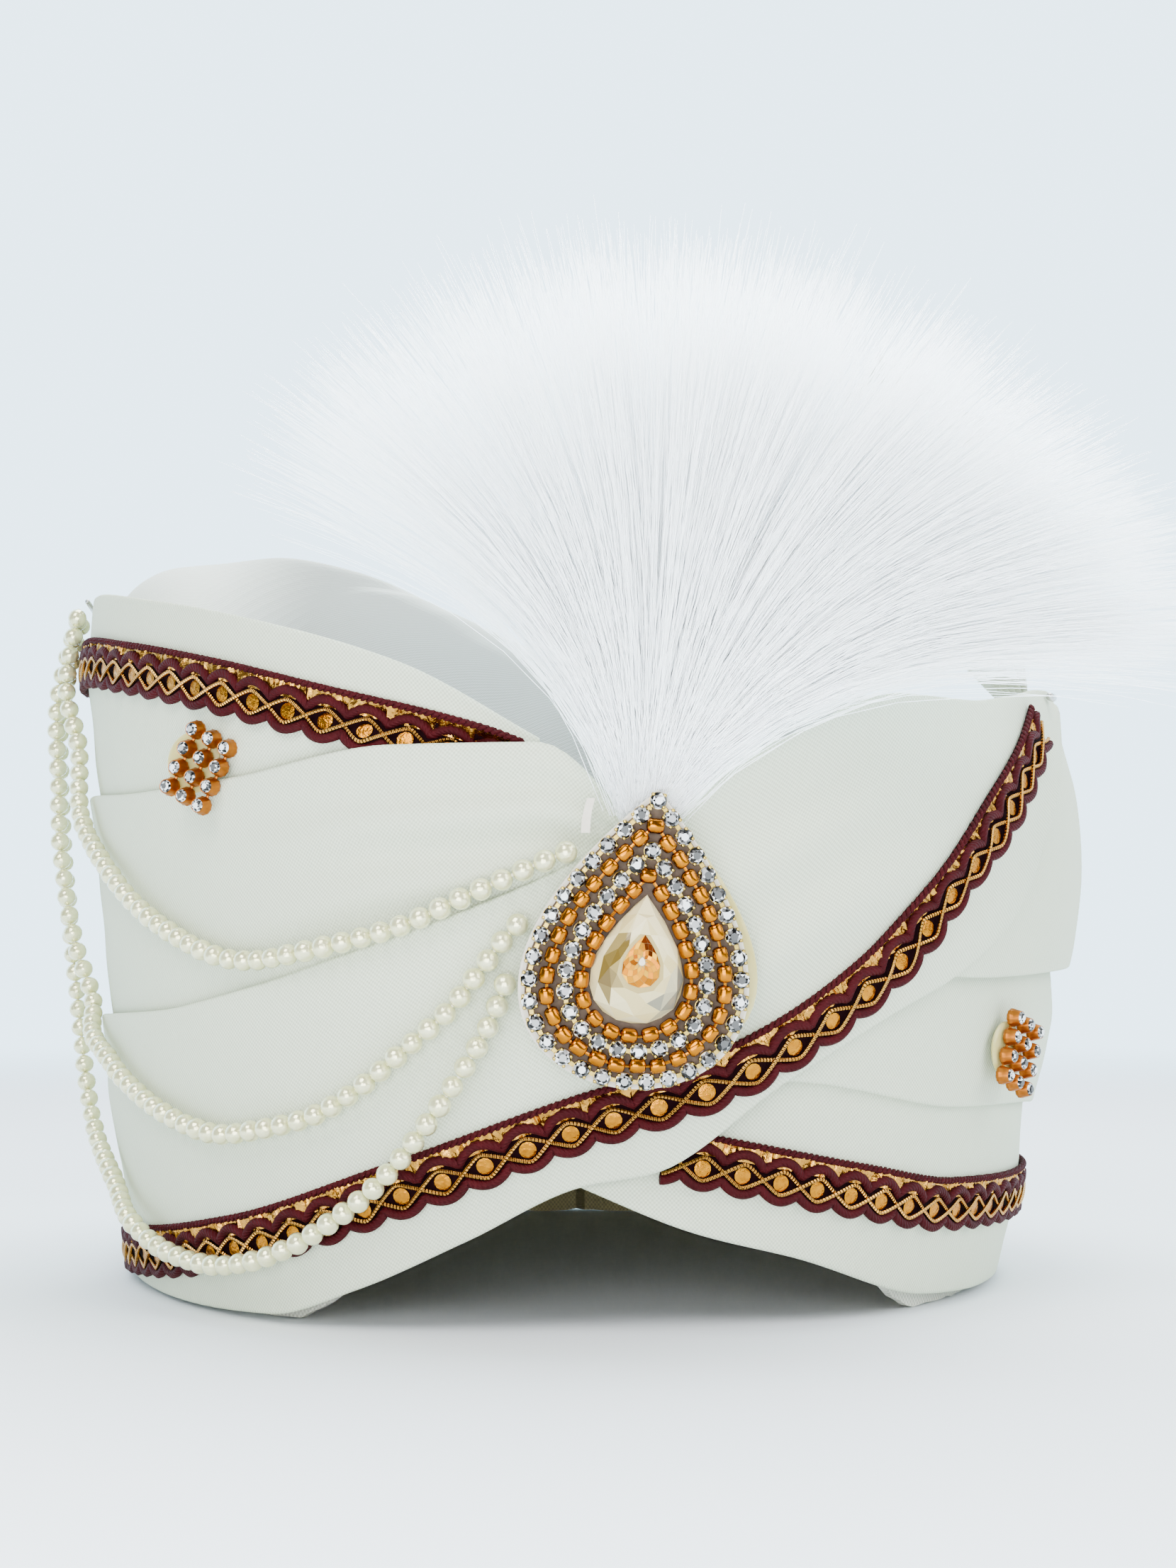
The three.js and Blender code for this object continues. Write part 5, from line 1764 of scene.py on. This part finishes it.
    def heart(self, sketch: Sketch, draw: np.random.Generator) -> None:
        """Lay the orange mosaic that the foil gives under the table: kites in crossing rows, dark at the tip,
        a pale painted highlight in the middle.

        Args:
            sketch: where it goes.
            draw: where tilts and tones come from.
        """
        sides, rings = 12, 6
        level = self.backing + self.drop_gap + self.drop_depth + self.heart_gap
        orange = [np.array(linear(c)[:3]) for c in ("c07c06", "b06802", "d89a20", "7a3e02")]
        brown = np.array(linear("4a1c04")[:3])
        grid = []
        for k in range(rings):
            scale = self.heart_share * (1 - k / rings)
            outline, _ = teardrop(self.drop_width * scale, self.drop_height * scale, self.drop_shift, sides,
                                  0.5 if k % 2 else 0.0)
            grid.append(outline)
        for k in range(rings - 1):
            for j in range(sides):
                between = (j if k % 2 == 0 else j + 1) % sides
                kite = [grid[k][j], grid[k + 1][between], grid[k][(j + 1) % sides]]
                if k > 0:
                    kite.append(grid[k - 1][between])
                flat = np.array(kite)
                flat = lerp(flat, flat.mean(0), 0.05)
                lift = level + (flat - flat.mean(0)) @ draw.normal(0, self.heart_tilt, 2)
                top = np.column_stack([flat, lift])
                count = len(top)
                walls = [[i, count + i, count + (i + 1) % count, (i + 1) % count] for i in range(count)]
                box = [list(range(count)), list(range(2 * count - 1, count - 1, -1)), *walls]
                tone = brown if j >= sides - 2 and k < 3 else orange[draw.choice(4, p=[0.35, 0.3, 0.2, 0.15])]
                slab = self.seat.points(np.concatenate([top, top - [0, 0, 0.3]]))
                sketch.add(slab, box, None, 1, [tuple(tone)] * len(box))
        # A pale cap in the heart's middle: a painted highlight
        cap = np.column_stack([grid[-1], np.full(sides, level + 0.05)])
        sketch.add(self.seat.points(cap), [list(range(sides))], None, 0, [linear("e8dcc4")[:3]])

    def pad(self) -> None:
        """Make the glue pad behind the brooch, which shows past its right edge."""
        sides = 48
        outline, _ = teardrop(*self.pad_size, 0.0, sides)
        tiers = ((0.94, -1.3), (0.99, -1.15), (1.0, -0.8), (0.985, -0.5), (0.94, -0.32))
        rings = [np.column_stack([outline * s + [self.pad_shift, 0.0], np.full(sides, z)]) for s, z in tiers]
        sketch = Sketch()
        sketch.add(self.seat.points(np.concatenate(rings)), capped_rings(len(tiers), sides))
        mount(sketch.piece("brooch_glue", [GLUE]), Slot.GLUE, "brooch_pad")


@dataclass
class Cluster:
    """Ornament of three columns by four rows of stones in pressed copper cups, on a blob of glue."""

    name: str
    angle: float
    z: float
    standoff: float
    turn: float
    roll: float
    pad_shift: float
    seed: int
    columns: int = 3
    rows: int = 4
    pitch: float = 3.68
    cup: float = 1.72
    cup_height: float = 2.3
    stone: float = 1.12
    stone_sunk: float = 0.12
    plate_gap: float = 0.1
    link_height: float = 0.35
    link_radius: float = 0.3
    pad_radius: float = 5.4

    def build(self) -> None:
        """Make the cups with their stones, and the glue."""
        normal = CORE.outward(self.angle)
        yaw = math.degrees(math.atan2(normal[0], -normal[1]))
        seat = Seat(tuple(CORE.place(self.angle, self.z, self.standoff)), yaw + self.turn, 0.0, self.roll)
        draw = np.random.default_rng(self.seed)
        r, top = self.cup, self.cup_height
        shape = [(0, 0.0), (0.94 * r, 0.0), (r, 0.18), (r, 0.62), (0.93 * r, 0.85), (0.84 * r, 0.62 * top),
                 (0.74 * r, 0.92 * top), (0.69 * r, top), (0.64 * r, top - 0.05), (0, top - 0.3)]
        cup, faces = lathe(shape, 36, flutes=12, flute=0.06)
        metal = Sketch()
        across, up = ((np.arange(n) - (n - 1) / 2) * self.pitch for n in (self.columns, self.rows))
        for x in across:
            for y in up:
                place = np.array([x, y, self.plate_gap])
                metal.add(seat.points(cup + place), faces)
                stone, stone_faces, tones = chaton(self.stone, draw)
                set_stone = stone + place + [0, 0, top - self.stone_sunk]
                metal.add(seat.points(set_stone), stone_faces, None, 1, tones)
        lines = [((x, up[0]), (x, up[-1])) for x in across] + [((across[0], y), (across[-1], y)) for y in up]
        for start, end in lines:
            bar = np.linspace((*start, self.link_height), (*end, self.link_height), 8)
            metal.add(*seat.link(bar, self.link_radius))
        mount(metal.piece(f"{self.name}_cups", [COPPER_CUP, CHATON], 22.0), Slot.COPPER, self.name)
        blob = [(0, -1.2), (0.8, -1.2), (0.97, -1.0), (1.0, -0.7), (0.95, -0.4), (0.8, -0.28), (0, -0.28)]
        body, blob_faces = lathe([(q * self.pad_radius, h) for q, h in blob], 40)
        glue = Sketch()
        glue.add(seat.points(body + [self.pad_shift, 0, 0]), blob_faces)
        mount(glue.piece(f"{self.name}_glue", [GLUE]), Slot.GLUE, f"{self.name}_pad")


@dataclass
class Pin:
    """Plain steel pin laid level on a wrap."""

    name: str
    carrier: Wrap
    angle: float
    z: float
    radius: float
    length: float
    gap: float = 0.4

    def build(self) -> None:
        """Make the pin with round ends."""
        normal = CORE.outward(self.angle)
        along = np.array([-normal[1], normal[0], 0.0])
        cloth = float(self.carrier.off(self.angle, self.z))
        middle = CORE.place(self.angle, self.z, cloth + self.radius + self.gap)
        end = np.cos(np.linspace(0, math.pi / 2, 5))
        share = np.concatenate([-end, end[::-1]])
        ends = np.sqrt(np.maximum(1 - share ** 2, 0.02))
        reach = np.sign(share) * self.length / 2 + share * self.radius
        path = middle + reach[:, None] * along
        sketch = Sketch()
        sketch.add(*tube(path, np.tile(normal, (len(path), 1)), self.radius * ends, 14))
        mount(sketch.piece(f"{self.name}_wire", [STEEL]), Slot.STEEL, self.name)


# Studio


@dataclass
class Studio:
    """Pale seamless floor, soft lights, and a camera at the photograph's place."""

    camera_mm: tuple[float, float, float] = (3.0, -512.0, 64.0)
    pitch_deg: float = 3.9
    lens_mm: float = 56.25
    floor_m: float = 1.5
    aim_m: tuple[float, float, float] = (0.0, 0.0, 0.08)
    sky_back: str = "c2def0"
    sky_front: str = "e2e6e4"
    sky_back_strength: float = 5.4
    sky_front_strength: float = 0.35
    sky_turn: tuple[float, float] = (-0.1, 0.55)

    def build(self) -> None:
        """Set the camera, floor, lights and sky."""
        lens = bpy.data.cameras.new("camera")
        lens.lens, lens.sensor_width, lens.clip_start = self.lens_mm, 36.0, 0.01
        camera = bpy.data.objects.new("camera", lens)
        camera.location = Vector(self.camera_mm) * MM
        camera.rotation_euler = (math.radians(90 + self.pitch_deg), 0.0, 0.0)
        bpy.context.scene.collection.objects.link(camera)
        bpy.context.scene.camera = camera
        self.floor()
        self.light("key", (-0.4, -0.8, 0.9), size=0.6, power=15.0)
        self.light("fill", (0.85, -0.5, 0.6), size=0.8, power=13.0)
        self.light("top", (0.1, 0.3, 1.15), size=0.9, power=27.0)
        self.light("card", (-0.05, -0.4, 0.02), size=0.25, power=2.2)
        self.sky()

    def sky(self) -> None:
        """Hang the bright backdrop behind the turban and a dimmer room in front of it."""
        world = bpy.data.worlds.new("studio_sky")
        world.use_nodes = True
        tree = world.node_tree
        aim = add_node(tree, "ShaderNodeTexCoord")
        parts = add_node(tree, "ShaderNodeSeparateXYZ", {"Vector": aim.outputs["Generated"]})
        behind = add_node(tree, "ShaderNodeMapRange", {
            "Value": parts.outputs["Y"], "From Min": self.sky_turn[0], "From Max": self.sky_turn[1],
        }, interpolation_type="SMOOTHSTEP")
        front, back = (tuple(v * strength for v in linear(colour)) for colour, strength in (
            (self.sky_front, self.sky_front_strength), (self.sky_back, self.sky_back_strength)))
        mixed = add_node(tree, "ShaderNodeMix", {"Factor": behind.outputs["Result"], "A": front, "B": back},
                         data_type="RGBA")
        tree.links.new(mixed.outputs[2], tree.nodes["Background"].inputs["Color"])
        bpy.context.scene.world = world

    def floor(self) -> None:
        """Lay the round floor."""
        sides, drop = 64, -0.05
        rings = np.array([0.12, 0.3, 0.6, 1.0, 1.0001])[:, None] * self.floor_m / MM
        turn = np.linspace(0, 2 * math.pi, sides, endpoint=False)
        parts = np.broadcast_arrays(rings * np.cos(turn), rings * np.sin(turn), drop)
        sketch = Sketch()
        sketch.add(np.stack(parts, -1), capped_rings(len(rings), sides)[:-1])
        sketch.piece("studio_floor", [PAPER])

    def light(self, name: str, place: tuple[float, float, float], size: float, power: float) -> None:
        """Hang one soft light that faces the turban.

        Args:
            name: the light's name.
            place: where it hangs, in metres.
            size: its side.
            power: its power in watts.
        """
        lamp = bpy.data.lights.new(name, "AREA")
        lamp.size, lamp.energy = size, power
        made = bpy.data.objects.new(name, lamp)
        made.location = place
        made.rotation_euler = (Vector(self.aim_m) - Vector(place)).to_track_quat("-Z", "Y").to_euler()
        bpy.context.scene.collection.objects.link(made)


# The turban's own tables

WRAP_COLUMNS = "angle low high off_low off_high puff"
UPPER = Table(WRAP_COLUMNS, [
    (-3, 88, 99, 7.4, 7.8, 0.6), (-17, 86, 112, 6.6, 8.4, 1.2), (-34, 83, 121, 7, 8.8, 2.4),
    (-51, 82, 127.5, 6.9, 8.8, 2.6), (-72, 84, 133.5, 6.9, 8.8, 2.6), (-105, 84, 137, 6.9, 8.8, 2.6),
    (-132, 83, 134.5, 7.2, 8.6, 3), (-160, 78.5, 131, 8.4, 8.2, 4), (-200, 77, 126, 10, 8, 5),
    (-235, 68, 120, 14, 8.6, 5), (-270, 61.5, 115, 14.8, 9.4, 5), (-291, 60.2, 111.5, 13.4, 8.6, 4),
    (-310, 59.2, 103, 11.2, 8.2, 1.6), (-328, 61, 92, 9.2, 8.4, 0.6),
])
MIDDLE = Table(WRAP_COLUMNS, [
    (6, 72, 86, 9.8, 10.2, 0.4), (-3, 66, 98, 9.7, 12.8, 0.5), (-17, 57, 98, 8.4, 12.8, 0.7),
    (-36, 48, 93.8, 7.2, 11.8, 0.5), (-52, 44, 92.7, 6.7, 11.2, 0.4), (-77, 42, 94.5, 6.6, 11.1, 0.3),
    (-105, 42, 95, 6.6, 11.1, 0.3), (-132, 43, 82.4, 6.8, 9.4, 2), (-160, 41.5, 77.5, 7.6, 8.4, 3.4),
    (-200, 40.5, 76, 8.2, 9.4, 3), (-235, 36, 73, 8.4, 10.6, 1.8), (-270, 33.5, 70, 8.9, 10.4, 1.8),
    (-295, 35.4, 70, 8.7, 9.6, 1.6), (-312, 36.2, 68, 7.6, 7.4, 1.2), (-336, 42, 60, 6.7, 7.2, 0.8),
    (-346, 42.5, 52, 6.5, 6.8, 0.4),
])
LOWER = Table(WRAP_COLUMNS, [
    (68, 109, 114, 12.4, 9.4, 0.4), (60, 91, 112.6, 15.6, 10.6, 1), (52, 71, 110, 15.2, 12, 1.6),
    (43, 60, 108, 13.4, 12.4, 2.2), (34, 53, 108, 12, 12.6, 2.4), (22, 42, 100.4, 10.2, 13, 2.4),
    (9, 27.5, 88.3, 7.2, 13.2, 2.4), (1, 25, 79, 5.4, 13.6, 2.2), (-11, 16, 70, 5, 13, 2),
    (-24, 7, 62.8, 4.8, 11.6, 1.8), (-36, 1.4, 57.4, 4.8, 10.4, 1.5), (-51, 0.8, 53.4, 4.9, 9.8, 1.2),
    (-77, 1, 51.6, 5, 9.7, 1), (-105, 0.8, 50, 5, 9.7, 1), (-132, 0.7, 42.4, 4.8, 8.4, 2.2),
    (-160, 0.6, 40.5, 4.4, 7.6, 3), (-200, 0.6, 39.5, 3.6, 6.8, 2.6), (-235, 0.6, 41, 2.8, 6.4, 1.8),
    (-270, 0.8, 42, 2.6, 6.4, 1.6), (-295, 1.2, 42, 2.6, 6.2, 1.4), (-313, 2.8, 43, 2.6, 5.4, 1),
    (-334, 12, 46, 2.4, 4.6, 0.6), (-346, 16.8, 40, 2.3, 3, 0.3), (-360, 25.4, 33, 2.2, 2.4, 0.1),
])
TRIM_UPPER = Table("angle top", [
    (-4, 98.4), (-8, 101), (-24, 108.3), (-38, 114.6), (-54, 120.3), (-70, 124.4), (-105, 126.5),
    (-160, 121), (-200, 115), (-238, 110),
])
TRIM_LOWER = Table("angle top", [
    (56, 109.4), (50, 99.6), (41, 84), (29, 63), (14, 47.6), (0, 40.3), (-18, 29.4), (-39, 18.6), (-60, 13.4),
    (-80, 11.4), (-105, 11.6), (-160, 14), (-235, 20), (-270, 22.6), (-290, 22.6), (-311, 23.6), (-326, 27.6),
    (-343, 33), (-349.4, 34.9),
])
PEARL_ROUTES = {
    "pearl_string_short": [
        (-79, 132.7, 0.2), (-79, 117, 0.4), (-76.5, 104, 0.8), (-71, 90, 0.4), (-60, 78.7, 0), (-51, 70.6, 0),
        (-41, 64.4, 0), (-34.7, 62.4, 0), (-27.5, 63.6, 0), (-16.6, 67.7, 0), (-9.6, 72.8, 0),
        (-3.4, 77.6, 0), (0.7, 80.6, 0),
    ],
    "pearl_string_middle": [
        (-82, 132.7, 0.4), (-82, 115, 2.6), (-81.5, 97, 4), (-80.5, 84, 4.8), (-79, 67, 3.8), (-77, 55, 1),
        (-71, 48.2, 0.2), (-63.5, 44, 0), (-57.7, 40.4, 0), (-49, 35.6, 0), (-40, 32.6, 0), (-33, 33.8, 0),
        (-26, 36.6, 0), (-20.6, 41.5, 0), (-15.3, 48.5, 0), (-11.5, 54, 0), (-8.7, 59.8, 0), (-6.4, 65, 0),
        (-4, 69.6, 0),
    ],
    "pearl_string_long": [
        (-85.2, 132.7, 0.4), (-85.4, 113, 2.8), (-85.4, 93, 4.6), (-85, 73, 5), (-83.6, 53, 3),
        (-81.6, 38, 2.2), (-77, 27.6, 1), (-67, 19.6, 0.2), (-59, 15, 0), (-51, 11, 0), (-42, 9.6, 0),
        (-35.6, 11, 0), (-31, 13.4, 0), (-26.5, 17, 0), (-19.4, 25, 0), (-13.7, 35.5, 0), (-8.8, 48, 0),
        (-6.6, 55.4, 0), (-5.6, 60.4, 0),
    ],
}


def main() -> None:
    """Build the turban's pieces in order."""
    logging.basicConfig(level=logging.INFO, format="%(message)s")
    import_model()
    Studio().build()
    upper = Wrap("upper_wrap", UPPER, seed=11, ripple=1.0, gather_at=-6.0)
    middle = Wrap("middle_wrap", MIDDLE, seed=12, ripple=0.9, gather_at=-4.0, gather_depth=1.2)
    lower = Wrap("lower_wrap", LOWER, seed=17, ripple=0.9, gather_at=24.0, gather_depth=0.7)
    wraps = [upper, middle, lower]
    for wrap in wraps:
        wrap.layers = wraps
    Lining().build()
    Crown().build()
    upper.build(["crown"])
    middle.build(["upper_wrap", "crown"])
    lower.build(["middle_wrap", "lining"])
    Turra().build()
    trims = [Trim("trim_upper", upper, TRIM_UPPER), Trim("trim_lower", lower, TRIM_LOWER)]
    for trim in trims:
        trim.build()
    for seed, (name, rows) in enumerate(PEARL_ROUTES.items()):
        PearlString(name, rows, wraps, trims, seed).build()
    plume = Plume()
    plume.build("front", seed=3)
    plume.build("back", seed=4)
    plume.tape()
    Brooch().build()
    Cluster("ornament_left", angle=-39.4, z=95.6, standoff=12.8, turn=20.0, roll=28.0, pad_shift=-2.4,
            seed=61).build()
    Cluster("ornament_right", angle=56.0, z=45.4, standoff=12.2, turn=-10.0, roll=22.0, pad_shift=-1.5,
            seed=62).build()
    Pin("string_pin", upper, angle=-82.4, z=134.0, radius=0.5, length=17.0).build()
    Pin("shoulder_pin", lower, angle=64.5, z=112.0, radius=0.8, length=2.4).build()


if __name__ == "__main__":
    main()
